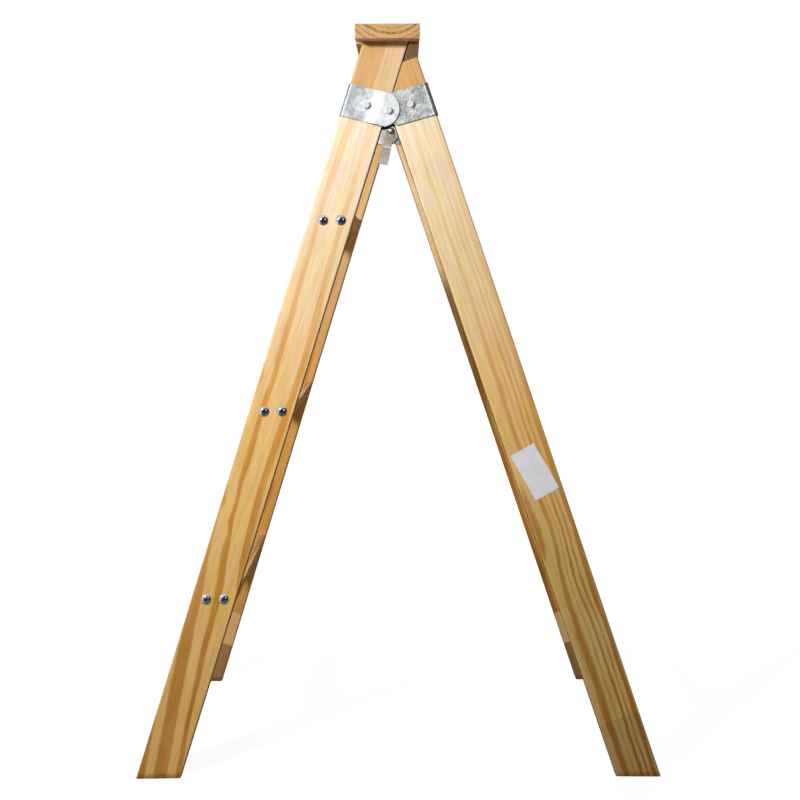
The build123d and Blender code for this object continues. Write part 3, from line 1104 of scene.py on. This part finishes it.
def build_piece(tag: PieceTag, grids: Sequence[np.ndarray], material: bpy.types.Material) -> bpy.types.Object:
    """Make one closed mesh from several grids of points whose edges meet.

    Args:
        tag: name, body, replaced solids and slot.
        grids: arrays of rows, columns and coordinates in the row frame.
        material: its finish.

    Returns:
        The piece.
    """
    starts = np.cumsum([0] + [grid.shape[0] * grid.shape[1] for grid in grids[:-1]])
    points = np.concatenate([grid.reshape(-1, 3) for grid in grids])
    quads = np.concatenate([grid_quads(*grid.shape[:2]) + start for grid, start in zip(grids, starts)])
    mesh = bpy.data.meshes.new(tag.name)
    mesh.from_pydata(points.tolist(), [], quads.tolist())
    work = bmesh.new()
    work.from_mesh(mesh)
    bmesh.ops.remove_doubles(work, verts=work.verts, dist=WELD)
    bmesh.ops.dissolve_degenerate(work, edges=work.edges, dist=SLIVER)
    bmesh.ops.recalc_face_normals(work, faces=work.faces)
    work.to_mesh(mesh)
    work.free()
    mesh.polygons.foreach_set("use_smooth", np.ones(len(mesh.polygons), bool))
    mesh.set_sharp_from_angle(angle=math.radians(SHARP_ANGLE))
    mesh.materials.append(material)
    piece = bpy.data.objects.new(tag.name, mesh)
    bpy.context.scene.collection.objects.link(piece)
    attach(piece, tag.body)
    if tag.stands_for:
        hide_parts(*tag.stands_for)
    LOG.info("built %s: %d faces", tag.name, len(mesh.polygons))
    return piece


def dress_node(node: str, material: bpy.types.Material) -> None:
    """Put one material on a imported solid.

    Args:
        node: name of the solid.
        material: its finish.
    """
    for slot in frame["nodes"][node].material_slots:
        slot.material = material
    LOG.info("dressed %s", node)


def grid_quads(rows: int, columns: int) -> np.ndarray:
    """Corner numbers of the quads between neighbouring points of a grid."""
    corner = (np.arange(rows - 1)[:, None] * columns + np.arange(columns - 1)).ravel()
    return np.stack([corner, corner + 1, corner + columns + 1, corner + columns], -1)


TURNS = np.linspace(0.0, 2 * math.pi, 73)


def hexagon_radius(flats: float) -> np.ndarray:
    """Radius of a hexagon at each turn: half its width over the cosine from the nearest flat."""
    sixth = math.pi / 3
    return flats / 2 / np.cos((TURNS + sixth / 2) % sixth - sixth / 2)


def turned_rows(rows: Outline) -> np.ndarray:
    """Carry radii and heights round an axis.

    A point is (radius cos turn, radius sin turn, height); a radius or height is one number for a
    whole row or one for each turn.

    Args:
        rows: radius and height of each row, from one end of the outline to the other.

    Returns:
        Grid of points as across, depth and along.
    """
    radius = np.stack([np.broadcast_to(row[0], TURNS.shape) for row in rows])
    height = np.stack([np.broadcast_to(row[1], TURNS.shape) for row in rows])
    return np.stack([radius * np.cos(TURNS), radius * np.sin(TURNS), height], -1)


TREADS = ("lower_tread", "middle_tread", "upper_tread")


@dataclass(frozen=True)
class TreadBolts:
    """Domed bolts with a hexagon socket, two at each end of a tread.

    Turn_steps are the degrees that a socket is turned by its tread, its place and its hand.
    """

    layout: Layout
    radius: float = 8.3 * MM
    rise: float = 4.2 * MM
    rim: float = 0.35 * MM
    socket: float = 6.0 * MM
    socket_depth: float = 2.8 * MM
    socket_bevel: float = 0.25 * MM
    drill_point: float = 0.5 * MM
    shank_radius: float = 3.0 * MM
    shank_length: float = 58.0 * MM
    half_spacing: float = 14.0 * MM
    shift: float = 2.0 * MM
    above_middle: float = 1.9 * MM
    turn_steps: Triple = (23.0, 17.0, 9.0)

    def shape(self) -> np.ndarray:
        """One bolt with its head's underside at zero.

        The head is a ball's cap on a low rim; its rows blend from the rim's circle to the socket's
        hexagon, go down the socket's walls and close on its floor.

        Returns:
            Grid of points.
        """
        ball = (self.radius ** 2 + self.rise ** 2) / (2 * self.rise)
        hexagon = hexagon_radius(self.socket)
        mouth = 1.08 * hexagon
        rows: Outline = [
            (0.0, -self.shank_length), (0.8 * self.shank_radius, -self.shank_length),
            (self.shank_radius, -self.shank_length + 0.25 * self.shank_radius), (self.shank_radius, 0.0),
            (0.97 * self.radius, 0.0), (self.radius, 0.4 * self.rim),
        ]
        for share in np.linspace(0.0, 1.0, 14):
            over = (1 - share) * self.radius + share * mouth
            cap = np.sqrt(ball ** 2 - over ** 2) - (ball - self.rise)
            rows.append((over, self.rim + cap * (self.rise - self.rim) / self.rise))
        floor = self.rise - self.socket_depth
        rows += [(hexagon, rows[-1][1] - self.socket_bevel), (0.985 * hexagon, floor),
                 (0.0, floor - self.drill_point)]
        return turned_rows(rows)

    def build(self, finish: bpy.types.Material) -> None:
        """Make the bolts of each tread.

        Args:
            finish: their plating.
        """
        bolt = self.shape()
        by_tread, by_place, by_hand = self.turn_steps
        for number, tread in enumerate(TREADS):
            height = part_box(tread)[1][2] - self.layout.tread_thickness / 2 + self.above_middle
            grids = []
            for hand in Hand:
                stile = self.layout.stile_axes(Row.FRONT, hand)
                for side in (-1, 1):
                    point = self.layout.tread_bolt_point(height, self.shift + side * self.half_spacing)
                    turn = by_tread * number + by_place * side + by_hand * hand.value
                    grids.append(stile.standing(point, -1).turned(turn).place(bolt))
            tag = PieceTag(f"{tread}_domed_bolts", "front_frame", (f"{tread}_bolts",))
            build_piece(tag, grids, finish)


@dataclass(frozen=True)
class HingeBolts:
    """Hexagon bolts and nuts of the brackets and the pivots.

    Turn_steps are the degrees that a bracket's bolt is turned by its row and its hand, and pivot_turns
    those of a pivot's bolt and nut.
    """

    layout: Layout
    bolt_finish: bpy.types.Material
    nut_finish: bpy.types.Material
    shank: float = 3.0 * MM
    flats: float = 10.0 * MM
    head: float = 4.0 * MM
    nut: float = 5.0 * MM
    land: float = 4.75 * MM
    dish: float = 0.2 * MM
    washer: float = 0.3 * MM
    washer_slope: float = 0.1 * MM
    tip: float = 0.3 * MM
    chamfer: Pair = (0.05 * MM, 0.62 * MM)
    countersink: float = 0.4 * MM
    bore_room: float = 0.04 * MM
    tail: float = 2.0 * MM
    pitch: float = 1.0 * MM
    thread_depth: float = 0.55 * MM
    thread_length: float = 3.0 * MM
    across: float = 35.75 * MM
    turn_steps: Pair = (14.0, 31.0)
    pivot_turns: Pair = (8.0, 20.0)

    def _corner(self, steps: int) -> Outline:
        """Rows of a corner chamfer: a 30 degree cone cut by the hexagon, with depths from the end."""
        hexagon = hexagon_radius(self.flats)
        return [(np.minimum(hexagon, self.land + depth * math.sqrt(3)), depth)
                for depth in np.linspace(*self.chamfer, steps)]

    def bolt(self, length: float) -> np.ndarray:
        """One bolt with its head's underside at zero.

        The top is slightly dished, the corners are chamfered, a thin washer face lies below the
        hexagon, and the tail's radius follows a triangle wave that climbs one pitch for each turn.

        Args:
            length: length of the shank.

        Returns:
            Grid of points.
        """
        rows: Outline = [
            (0.0, self.head - self.dish), (0.55 * self.land, self.head - self.dish),
            (0.72 * self.land, self.head), (self.land, self.head),
        ]
        rows += [(radius, self.head - depth) for radius, depth in self._corner(7)]
        rows += [(hexagon_radius(self.flats), self.washer + self.washer_slope),
                 (0.97 * self.land, self.washer), (0.97 * self.land, 0.0),
                 (self.shank, 0.0), (self.shank, self.thread_length - length)]
        for height in np.linspace(self.thread_length - length, self.tip - length, 26)[1:]:
            climb = (height / self.pitch - TURNS / (2 * math.pi)) % 1.0
            rows.append((self.shank - self.thread_depth * np.abs(2 * climb - 1), height))
        rows += [(0.75 * self.shank, -length), (0.0, -length)]
        return turned_rows(rows)

    def ring(self) -> np.ndarray:
        """One nut from zero upwards: a hexagon chamfered at both ends round a countersunk bore.

        Returns:
            Grid of points, whose last row is its first.
        """
        bore, mouth = self.shank + self.bore_room, 1.18 * self.shank
        rows: Outline = [(bore, self.countersink), (mouth, 0.0), (self.land, 0.0)]
        rows += self._corner(6)
        rows += [(radius, self.nut - depth) for radius, depth in reversed(self._corner(6))]
        rows += [(self.land, self.nut), (mouth, self.nut), (bore, self.nut - self.countersink), rows[0]]
        return turned_rows(rows)

    def build(self, brackets: Sequence["Bracket"]) -> None:
        """Make the bolts and nuts of both frames and the pivots.

        Args:
            brackets: the sheet brackets that the bolts go through.
        """
        for row in Row:
            seats = [self._through(bracket) for bracket in brackets if bracket.row is row]
            bolts = [bolt.place(self.bolt(length)) for bolt, _, length in seats]
            nuts = [nut.place(self.ring()) for _, nut, _ in seats]
            for kind, grids, finish in (("bolts", bolts, self.bolt_finish), ("nuts", nuts, self.nut_finish)):
                tag = PieceTag(f"{row.word}_bracket_hexagon_{kind}", f"{row.word}_frame",
                               (f"{row.word}_bracket_{kind}",))
                build_piece(tag, grids, finish)
        for hand in Hand:
            bolt, nut, length = self._pivot(hand)
            shapes = (("bolt", bolt.place(self.bolt(length)), self.bolt_finish),
                      ("nut", nut.place(self.ring()), self.nut_finish))
            for kind, grid, finish in shapes:
                tag = PieceTag(f"pivot_hexagon_{kind}_{hand.word}", "front_frame",
                               (f"pivot_{kind}_{hand.word}",))
                build_piece(tag, [grid], finish)

    def _through(self, bracket: "Bracket") -> tuple[Axes, Axes, float]:
        """Seats of a bracket's bolt and nut, and the bolt's length.

        Args:
            bracket: the bracket that they clamp.

        Returns:
            Bolt axes pointing outwards, nut axes pointing inwards, and the length of the shank.
        """
        stile = self.layout.stile_axes(bracket.row, bracket.hand)
        skin = bracket.gap + bracket.sheet
        along = -self.across * math.tan(math.radians(bracket.tilt))
        inner = self.layout.stile_thickness + skin
        turn = self.turn_steps[0] * bracket.row.value + self.turn_steps[1] * bracket.hand.value
        outside = stile.standing((self.across, -skin, along), -1)
        inside = stile.standing((self.across, inner, along), 1)
        return outside.turned(turn), inside.turned(-turn), inner + skin + self.nut + self.tail

    def _pivot(self, hand: Hand) -> tuple[Axes, Axes, float]:
        """Seats of a pivot bolt and its nut, along Y on the pivot line, and the bolt's length.

        Args:
            hand: side of the ladder.

        Returns:
            Bolt axes pointing outwards, nut axes pointing inwards, and the length of the shank.
        """
        out = np.array([0.0, float(hand.value), 0.0])
        tip, top = sorted(abs(corner[1]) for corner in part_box(f"pivot_bolt_{hand.word}"))
        seat = max(abs(corner[1]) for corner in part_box(f"pivot_nut_{hand.word}"))
        x, z = np.array([1.0, 0.0, 0.0]), np.array([0.0, 0.0, 1.0])
        bolt = Axes(self.layout.pivot + (top - self.head) * out, x, z, out)
        nut = Axes(self.layout.pivot + seat * out, x, z, -out)
        return bolt.turned(self.pivot_turns[0]), nut.turned(self.pivot_turns[1]), top - self.head - tip


@dataclass(frozen=True)
class Bracket:
    """A sheet band folded round the outer edge of a stile, with a round tongue at the pivot on each face."""

    row: Row
    hand: Hand
    gap: float
    reach: float
    step: float
    sheet: float = 1.5 * MM
    band: float = 52.0 * MM
    tilt: float = 3.5
    bend: float = 4.0 * MM
    tongue: float = 28.5 * MM
    step_start: float = 10.0 * MM
    step_end: float = 34.0 * MM
    broken_edge: float = 0.3 * MM
    crisp_angle: float = 55.0

    def middle(self, layout: Layout) -> tuple[np.ndarray, np.ndarray, np.ndarray]:
        """Middle surface of the folded band.

        Rows follow the outer leaf from its tongue, a quarter circle, the back, a quarter circle and
        the inner leaf; columns cross the band. Each leaf ends on a circle of the tongue's radius, and
        eases outwards by the step towards its tongue so that the leaves of both frames pass.

        Args:
            layout: driving sizes.

        Returns:
            Across, depth and along of each point.
        """
        slope = math.radians(self.tilt)
        wide = np.linspace(-0.5, 0.5, 27) * self.band
        point = self.reach - self.tongue + np.sqrt(self.tongue ** 2 - wide ** 2)
        tip = wide * math.sin(slope) - point * math.cos(slope)
        outer = -self.gap - self.sheet / 2
        inner = layout.stile_thickness + self.gap + self.sheet / 2
        back = layout.setback + layout.stile_width + self.gap + self.sheet / 2
        straight = back - self.bend
        share = np.linspace(0.0, 1.0, 40)[:, None]
        leaf = tip + (straight - tip) * share
        ease = np.clip((leaf - self.step_start) / (self.step_end - self.step_start), 0.0, 1.0)
        lift = self.step * (1 - ease * ease * (3 - 2 * ease))
        turn = np.linspace(0.0, math.pi / 2, 10)[1:, None]
        wall = np.linspace(outer + self.bend, inner - self.bend, 5)[1:, None]
        even = np.ones_like(wide)
        across = np.concatenate([
            leaf, (straight + self.bend * np.sin(turn)) * even, back * even * np.ones_like(wall),
            (straight + self.bend * np.cos(turn)) * even, leaf[::-1][1:]])
        depth = np.concatenate([
            outer - lift, (outer + self.bend * (1 - np.cos(turn))) * even, wall * even,
            (inner - self.bend * (1 - np.sin(turn))) * even, (inner + lift)[::-1][1:]])
        return across, depth, wide / math.cos(slope) - across * math.tan(slope)

    def build(self, layout: Layout, finish: bpy.types.Material) -> None:
        """Give the middle surface two skins, close its edges and break them.

        Args:
            layout: driving sizes.
            finish: the sheet's material.
        """
        across, depth, along = self.middle(layout)
        run, fall = np.gradient(across, axis=0), np.gradient(depth, axis=0)
        size = np.hypot(run, fall)
        half = self.sheet / 2
        axes = layout.stile_axes(self.row, self.hand)
        skins = [axes.place(np.stack([across + side * half * fall / size,
                                      depth - side * half * run / size, along], -1)) for side in (1, -1)]
        rims = [np.stack([skins[0][:, k], skins[1][:, k]]) for k in (0, -1)]
        ends = [np.stack([skins[0][k], skins[1][k]]) for k in (0, -1)]
        row, hand = self.row.word, self.hand.word
        tag = PieceTag(f"{row}_folded_bracket_{hand}", f"{row}_frame", (f"{row}_bracket_{hand}",),
                       "galvanised_sheet")
        bevel = build_piece(tag, skins + rims + ends, finish).modifiers.new("broken edge", "BEVEL")
        bevel.width = self.broken_edge
        bevel.segments = 2
        bevel.limit_method = "ANGLE"
        bevel.angle_limit = math.radians(self.crisp_angle)


@dataclass(frozen=True)
class Label:
    """Blank paper sticker on the near rear stile.

    The corner that lifts begins where the two shares of half a side add up to corner_line.
    """

    layout: Layout
    width: float = 42.5 * MM
    length: float = 82.0 * MM
    across: float = 35.2 * MM
    along: float = -612.0 * MM
    turn: float = -11.0
    thickness: float = 0.14 * MM
    glue: float = 0.04 * MM
    lift: float = 0.7 * MM
    corner_line: float = 1.45
    corner_reach: float = 0.5
    corner_power: float = 60.0

    def build(self, finish: bpy.types.Material) -> None:
        """Make the sticker.

        Its outline is a superellipse, half a side times cosine or sine to the power of two over the
        corner power; rows shrink it to its middle. One corner lifts with the square of its distance
        past a line across that corner.

        Args:
            finish: the paper.
        """
        ring = np.round(np.stack([np.cos(TURNS), np.sin(TURNS)], -1), 12)
        unit = np.sign(ring) * np.abs(ring) ** (2 / self.corner_power)
        flat = np.linspace(0.0, 1.0, 15)[:, None, None] * unit
        past = np.clip(flat[..., 0] + flat[..., 1] - self.corner_line, 0.0, None) / self.corner_reach
        height = self.glue + self.lift * past ** 2
        x, z = flat[..., 0] * self.width / 2, flat[..., 1] * self.length / 2
        cosine, sine = math.cos(math.radians(self.turn)), math.sin(math.radians(self.turn))
        across = self.across + x * cosine + z * sine
        along = self.along + z * cosine - x * sine
        axes = self.layout.stile_axes(Row.REAR, Hand.RIGHT)
        skins = [axes.place(np.stack([across, -height - rise, along], -1)) for rise in (0.0, self.thickness)]
        rim = np.stack([skins[0][-1], skins[1][-1]])
        build_piece(PieceTag("blank_sticker", "rear_frame", slot=""), skins + [rim], finish)


@dataclass(frozen=True)
class Boards:
    """The pine boards, which keep their solids and get one material each."""

    layout: Layout
    pine: Pine

    def stile_logs(self) -> dict[str, tuple[Axes, Sawn]]:
        """How the four stiles were sawn.

        Returns:
            Axes and sawing by node.
        """
        edge = self.layout.setback / MM
        near_front = Sawn(
            33.5, -62.0, lean_across=0.006, lean_depth=-0.0010, ring=7.2, bend_start=-690.0, bend_rate=0.108,
            seed=3.0, wobble=1.7, joints=(0.0, -967.0, -1029.0), edge=edge, top_split=34.0,
            foot_tint=srgb(255, 255, 253), foot_length=srgb(255, 253, 251),
            swirls=(Swirl(60, -458, 9, 4.5), Swirl(57, -662, 10, 5), Swirl(46, -712, 7, 3),
                    Swirl(54, 62, 15, 6)),
            bands=(Band(10.2, 22, 0.95, 1.4, 20), Band(40, 61, 0.85, 1.8, 20), Band(78, 100, 0.9, 1.5)))
        # The near rear stile's cooler, darker foot tint is painted shade.
        near_rear = Sawn(
            3.0, -38.0, lean_depth=0.004, ring=7.3, seed=11.0, wobble=1.6, calm=0.3,
            joints=(0.0, -969.0, -1034.0), edge=edge, tint=srgb(255, 255, 250),
            foot_tint=srgb(231, 237, 242), foot_length=srgb(238, 231, 236),
            swirls=(Swirl(3, -700, 42, -7), Swirl(42, -800, 26, 2.2)),
            bands=(Band(-9, 9, 1.0, 0.8, -560), Band(21.5, 27.5, 0.95, 1.1), Band(32.8, 35.6, 0.6, 0.9),
                   Band(41.4, 45.4, 1.0, 0.8), Band(50.4, 53.8, 0.8, 0.7), Band(59.3, 66, 1.1, 0.6)))
        # The far stiles' tint and foot tint are painted shade, as they stand behind the near ones; their pale
        # third lengths are painted pools of light, and their dark foot lengths darken the feet.
        far_front = Sawn(
            20.0, -50.0, lean_depth=0.004, ring=6.2, seed=23.0, joints=(0.0, -969.0, -1037.0), edge=edge,
            tint=srgb(240, 220, 194), foot_tint=srgb(240, 220, 194),
            stocks=((2, srgb(255, 208, 149)), (3, srgb(194, 150, 116))))
        far_rear = Sawn(
            50.0, -58.0, lean_across=0.01, ring=5.6, seed=31.0, joints=(0.0, -974.0, -1040.0), edge=edge,
            tint=srgb(250, 241, 226), foot_tint=srgb(228, 215, 198),
            stocks=((2, srgb(255, 222, 160)), (3, srgb(177, 144, 105))))
        logs = {(Row.FRONT, Hand.RIGHT): near_front, (Row.REAR, Hand.RIGHT): near_rear,
                (Row.FRONT, Hand.LEFT): far_front, (Row.REAR, Hand.LEFT): far_rear}
        return {f"{row.word}_stile_{hand.word}": (self.layout.stile_axes(row, hand), log)
                for (row, hand), log in logs.items()}

    def cross_logs(self) -> dict[str, tuple[Axes, Sawn]]:
        """How the treads, the cap and the rear rails were sawn.

        Returns:
            Axes and sawing by node.
        """
        logs = {}
        # The treads' greyer, darker tint is painted shade.
        tints = (srgb(228, 232, 255), srgb(231, 233, 255), srgb(242, 227, 208))
        for number, (node, tint) in enumerate(zip(TREADS, tints)):
            sawn = Sawn(12.0 - 14 * number, 40.0, lean_across=0.02, ring=4.6, seed=41.0 + 7 * number,
                        tint=tint, foot_tint=tint)
            logs[node] = (self.layout.cross_axes(node), sawn)
        for number, node in enumerate(("lower_rear_rail", "upper_rear_rail")):
            sawn = Sawn(-30.0, 14.0 + 9 * number, ring=5.0, seed=67.0 + 9 * number)
            logs[node] = (self.layout.cross_axes(node, -self.layout.rear_lean), sawn)
        cap = Sawn(6.0, -58.0, ring=8.0, seed=83.0, wobble=3.0, tint=srgb(238, 228, 214))
        logs["top_cap"] = (self.layout.cross_axes("top_cap"), cap)
        return logs

    def dress(self) -> None:
        """Give each board its own material."""
        for node, (axes, sawn) in (self.stile_logs() | self.cross_logs()).items():
            dress_node(node, PineBoard(self.pine, f"pine {node}", axes, sawn).material)


@dataclass(frozen=True)
class Ironwork:
    """Brackets, tab, bolts, nuts and screws.

    The near front bracket's sheet and that of the other three are lit and shaded copies of one sheet: the
    brighter one is a painted highlight, the grey one painted shade.
    """

    layout: Layout
    front_gap: float = 0.1 * MM
    rear_gap: float = 0.7 * MM
    front_reach: float = 17.0 * MM
    rear_reach: float = 9.0 * MM
    front_step: float = 3.1 * MM
    tab_turn: float = 5.8
    # Painted highlight: a brighter copy of the sheet for the near front bracket.
    shiny: GalvanisedSheet = GalvanisedSheet(srgb(243, 246, 248), srgb(172, 180, 186), bloom=0.64, fade=0.24,
                                             swing=(0.1, 0.24), specks=0.14)
    # Painted shade: a greyer copy of the sheet for the other three brackets.
    grey: GalvanisedSheet = GalvanisedSheet(srgb(238, 241, 238), srgb(140, 146, 146), spangle=3.2, specks=0.6)
    # Dark lines along the folds are painted shade, pale ones painted highlights.
    front_folds: tuple[Crease, ...] = (Crease(69.0, 1.3, 0.85), Crease(63.8, 0.5, 0.45))
    rear_folds: tuple[Crease, ...] = (Crease(69.4, 2.8, 0.85), Crease(65.2, 0.8, 0.8, srgb(250, 251, 252)))
    # The tab's pale line along its bend is a painted highlight, the dark one beside it painted shade.
    tab_sheet: GalvanisedSheet = GalvanisedSheet(
        srgb(214, 207, 192), srgb(168, 160, 143), spangle=3.0,
        creases=(Crease(28.0, 1.3, 0.75, srgb(244, 242, 234)), Crease(30.6, 1.0, 0.4)))
    bright_zinc: ZincPlate = ZincPlate()
    blue_zinc: ZincPlate = ZincPlate(srgb(214, 220, 228), srgb(160, 167, 178), rough=(0.17, 0.08))
    satin_zinc: ZincPlate = ZincPlate(srgb(250, 250, 250), srgb(224, 227, 231), metal=0.15)
    # Painted shade: a darker copy of the zinc for the nuts.
    grey_zinc: ZincPlate = ZincPlate(srgb(120, 122, 124), srgb(66, 68, 70), metal=0.6, rough=(0.48, 0.36))

    def _tab_axes(self) -> Axes:
        """Axes of the tab below the left pivot, whose across runs down the tab.

        Returns:
            Axes with their origin on the pivot line.
        """
        stile = self.layout.stile_axes(Row.FRONT, Hand.LEFT)
        turn = math.radians(self.tab_turn)
        up = math.cos(turn) * stile.along + math.sin(turn) * stile.across
        sideways = math.cos(turn) * stile.across - math.sin(turn) * stile.along
        return Axes(stile.origin, -up, stile.depth, sideways)

    def build(self) -> None:
        """Make the new pieces and dress the solids that stay."""
        front = [Bracket(Row.FRONT, hand, self.front_gap, self.front_reach, self.front_step) for hand in Hand]
        rear = [Bracket(Row.REAR, hand, self.rear_gap, self.rear_reach, 0.0) for hand in Hand]
        for bracket in front + rear:
            row, hand = bracket.row, bracket.hand
            # Painted highlight on the near front bracket's sheet, painted shade on the other three.
            sheet = self.shiny if (row, hand) == (Row.FRONT, Hand.RIGHT) else self.grey
            sheet = replace(sheet, creases=self.front_folds if row is Row.FRONT else self.rear_folds)
            axes = self.layout.stile_axes(row, hand)
            bracket.build(self.layout, sheet.material(f"galvanised sheet {row.word} {hand.word}", axes))
        TreadBolts(self.layout).build(self.blue_zinc.material("blue zinc"))
        # The nuts' darker zinc is painted shade.
        satin, grey = self.satin_zinc.material("satin zinc"), self.grey_zinc.material("grey zinc")
        HingeBolts(self.layout, satin, grey).build(front + rear)
        dress_node("hinge_tab", self.tab_sheet.material("dull tab", self._tab_axes()))
        bright = self.bright_zinc.material("zinc plate")
        for node in ("cap_screws", *(f"{tread}_cylinder_nuts" for tread in TREADS)):
            dress_node(node, bright)


@dataclass(frozen=True)
class Lamp:
    """A square soft lamp: where it hangs, what it points at, its side length and its power."""

    name: str
    place: Triple
    target: Triple
    size: float
    watts: float

    def hang(self) -> None:
        """Put the lamp into the scene, out of the camera's sight."""
        data = bpy.data.lights.new(self.name, "AREA")
        data.size = self.size
        data.energy = self.watts
        lamp = bpy.data.objects.new(self.name, data)
        lamp.location = self.place
        lamp.rotation_euler = (Vector(self.target) - Vector(self.place)).to_track_quat("-Z", "Y").to_euler()
        lamp.visible_camera = False
        bpy.context.scene.collection.objects.link(lamp)


@dataclass(frozen=True)
class Studio:
    """Floor, light, background and camera.

    The floor's shades are for light that bounces off it and for the eye. Gloss sees the background
    fade to dim_strength within the angles, given as cosines, that dim_span sets about dim_end.
    """

    focal_pixels: float = 1175.0
    image_pixels: float = 800.0
    sensor: float = 36.0
    eye: Triple = (0.01021, -2.03787, 0.83137)
    pitch: float = 6.895
    yaw: float = -0.126
    roll: float = -0.323
    floor_half: float = 9.0
    floor_level: float = -0.2 * MM
    floor_steps: int = 9
    floor_shades: Pair = (0.25, 0.9)
    floor_white: float = 1.07
    floor_glow: Ramp = (0.9, 1.9, 0.86, 1.0)
    ambient: float = 0.16
    ambient_colour: Colour = srgb(250, 245, 238)
    dim_end: Triple = (0.50, -0.78, -0.38)
    dim_span: Pair = (0.02, 0.38)
    dim_strength: float = 0.04
    middle: Triple = (0.0, 0.0, 0.6)
    lamps: tuple[Lamp, ...] = (
        Lamp("key", (-0.9, -1.15, 1.5), (0.0, -0.15, 0.9), 0.22, 24.2),
        Lamp("fill", (1.5, -2.2, 1.7), (0.1, 0.0, 0.7), 1.2, 5.0),
        Lamp("back", (0.0, 2.2, 2.5), (0.0, 0.0, 0.6), 1.4, 54.0),
    )

    def build(self) -> None:
        """Make everything that isn't part of the ladder."""
        self.floor()
        self.world()
        for lamp in self.lamps:
            lamp.hang()
        self.camera()

    def floor(self) -> None:
        """Pale level floor just below the feet, which keeps a soft shadow and turns white far away."""
        steps = np.linspace(-self.floor_half, self.floor_half, self.floor_steps)
        x, y = np.meshgrid(steps, steps, indexing="ij")
        points = np.stack([x, y, np.full_like(x, self.floor_level)], -1)
        quads = grid_quads(self.floor_steps, self.floor_steps)[:, ::-1]
        mesh = bpy.data.meshes.new("floor")
        mesh.from_pydata(points.reshape(-1, 3).tolist(), [], quads.tolist())
        material, make = new_material("pale floor")
        pale = make.node("BsdfDiffuse", self._seen(make).carry(0.0, 1.0, *self.floor_shades))
        way = make.vector("SUBTRACT", make.coords(), self.middle)
        white = make.node("Emission", WHITE, self._gloss(make, way) * self.floor_white)
        glow = make.vector("LENGTH", make.coords()).ease(*self.floor_glow)
        make.output(make.between(self._seen(make) * glow, pale, white))
        mesh.materials.append(material)
        floor = bpy.data.objects.new("floor", mesh)
        bpy.context.scene.collection.objects.link(floor)

    def _seen(self, make: NodeMaker) -> Wire:
        """1 for rays that show the background: from the camera, a gloss or a clear piece."""
        camera, gloss, clear = (make.wire("LightPath", output=f"Is {ray} Ray")
                                for ray in ("Camera", "Glossy", "Transmission"))
        return camera.op("MAXIMUM", gloss).op("MAXIMUM", clear)

    def _gloss(self, make: NodeMaker, way: Wire) -> Wire:
        """Strength of the white background, which gloss sees fade in the dim end of the studio.

        Args:
            make: maker of the tree.
            way: direction from the middle of the studio.

        Returns:
            1, or less for gloss that looks towards the camera's lower right.
        """
        facing = make.vector("DOT_PRODUCT", make.vector("NORMALIZE", way), self.dim_end)
        gloss = make.wire("LightPath", output="Is Glossy Ray") * facing.ease(*self.dim_span)
        return gloss.carry(0.0, 1.0, 1.0, self.dim_strength)

    def world(self) -> None:
        """White background to the eye and to gloss, dimmer as a light on the object."""
        world = bpy.data.worlds.new("studio")
        bpy.context.scene.world = world
        world.use_nodes = True
        make = NodeMaker(world.node_tree)
        dim = make.node("Background", self.ambient_colour, self.ambient)
        white = make.node("Background", WHITE, self._gloss(make, make.coords("Generated")))
        make.output(make.between(self._seen(make), dim, white), "OutputWorld")

    def camera(self) -> None:
        """Camera at the photograph's view.

        The view direction has yaw to the right and pitch down; the picture is then rolled about it.
        """
        pitch, yaw, roll = (math.radians(angle) for angle in (self.pitch, self.yaw, self.roll))
        forward = Vector((math.sin(yaw) * math.cos(pitch), math.cos(yaw) * math.cos(pitch), -math.sin(pitch)))
        level = Vector((math.cos(yaw), -math.sin(yaw), 0.0))
        up = level.cross(forward)
        right = math.cos(roll) * level + math.sin(roll) * up
        top = math.cos(roll) * up - math.sin(roll) * level
        data = bpy.data.cameras.new("camera")
        data.sensor_width = self.sensor
        data.lens = data.sensor_width * self.focal_pixels / self.image_pixels
        camera = bpy.data.objects.new("camera", data)
        turn = Matrix([right, top, -forward]).transposed()
        camera.matrix_world = Matrix.Translation(self.eye) @ turn.to_4x4()
        bpy.context.scene.collection.objects.link(camera)
        bpy.context.scene.camera = camera


def main() -> None:
    """Dress the ladder and set up the studio."""
    logging.basicConfig(level=logging.INFO, format="%(name)s: %(message)s")
    bpy.context.scene.view_settings.view_transform = "Standard"
    Boards(LAYOUT, Pine()).dress()
    Ironwork(LAYOUT).build()
    Label(LAYOUT).build(Paper().material("sticker paper"))
    Studio().build()


if __name__ == "__main__":
    main()
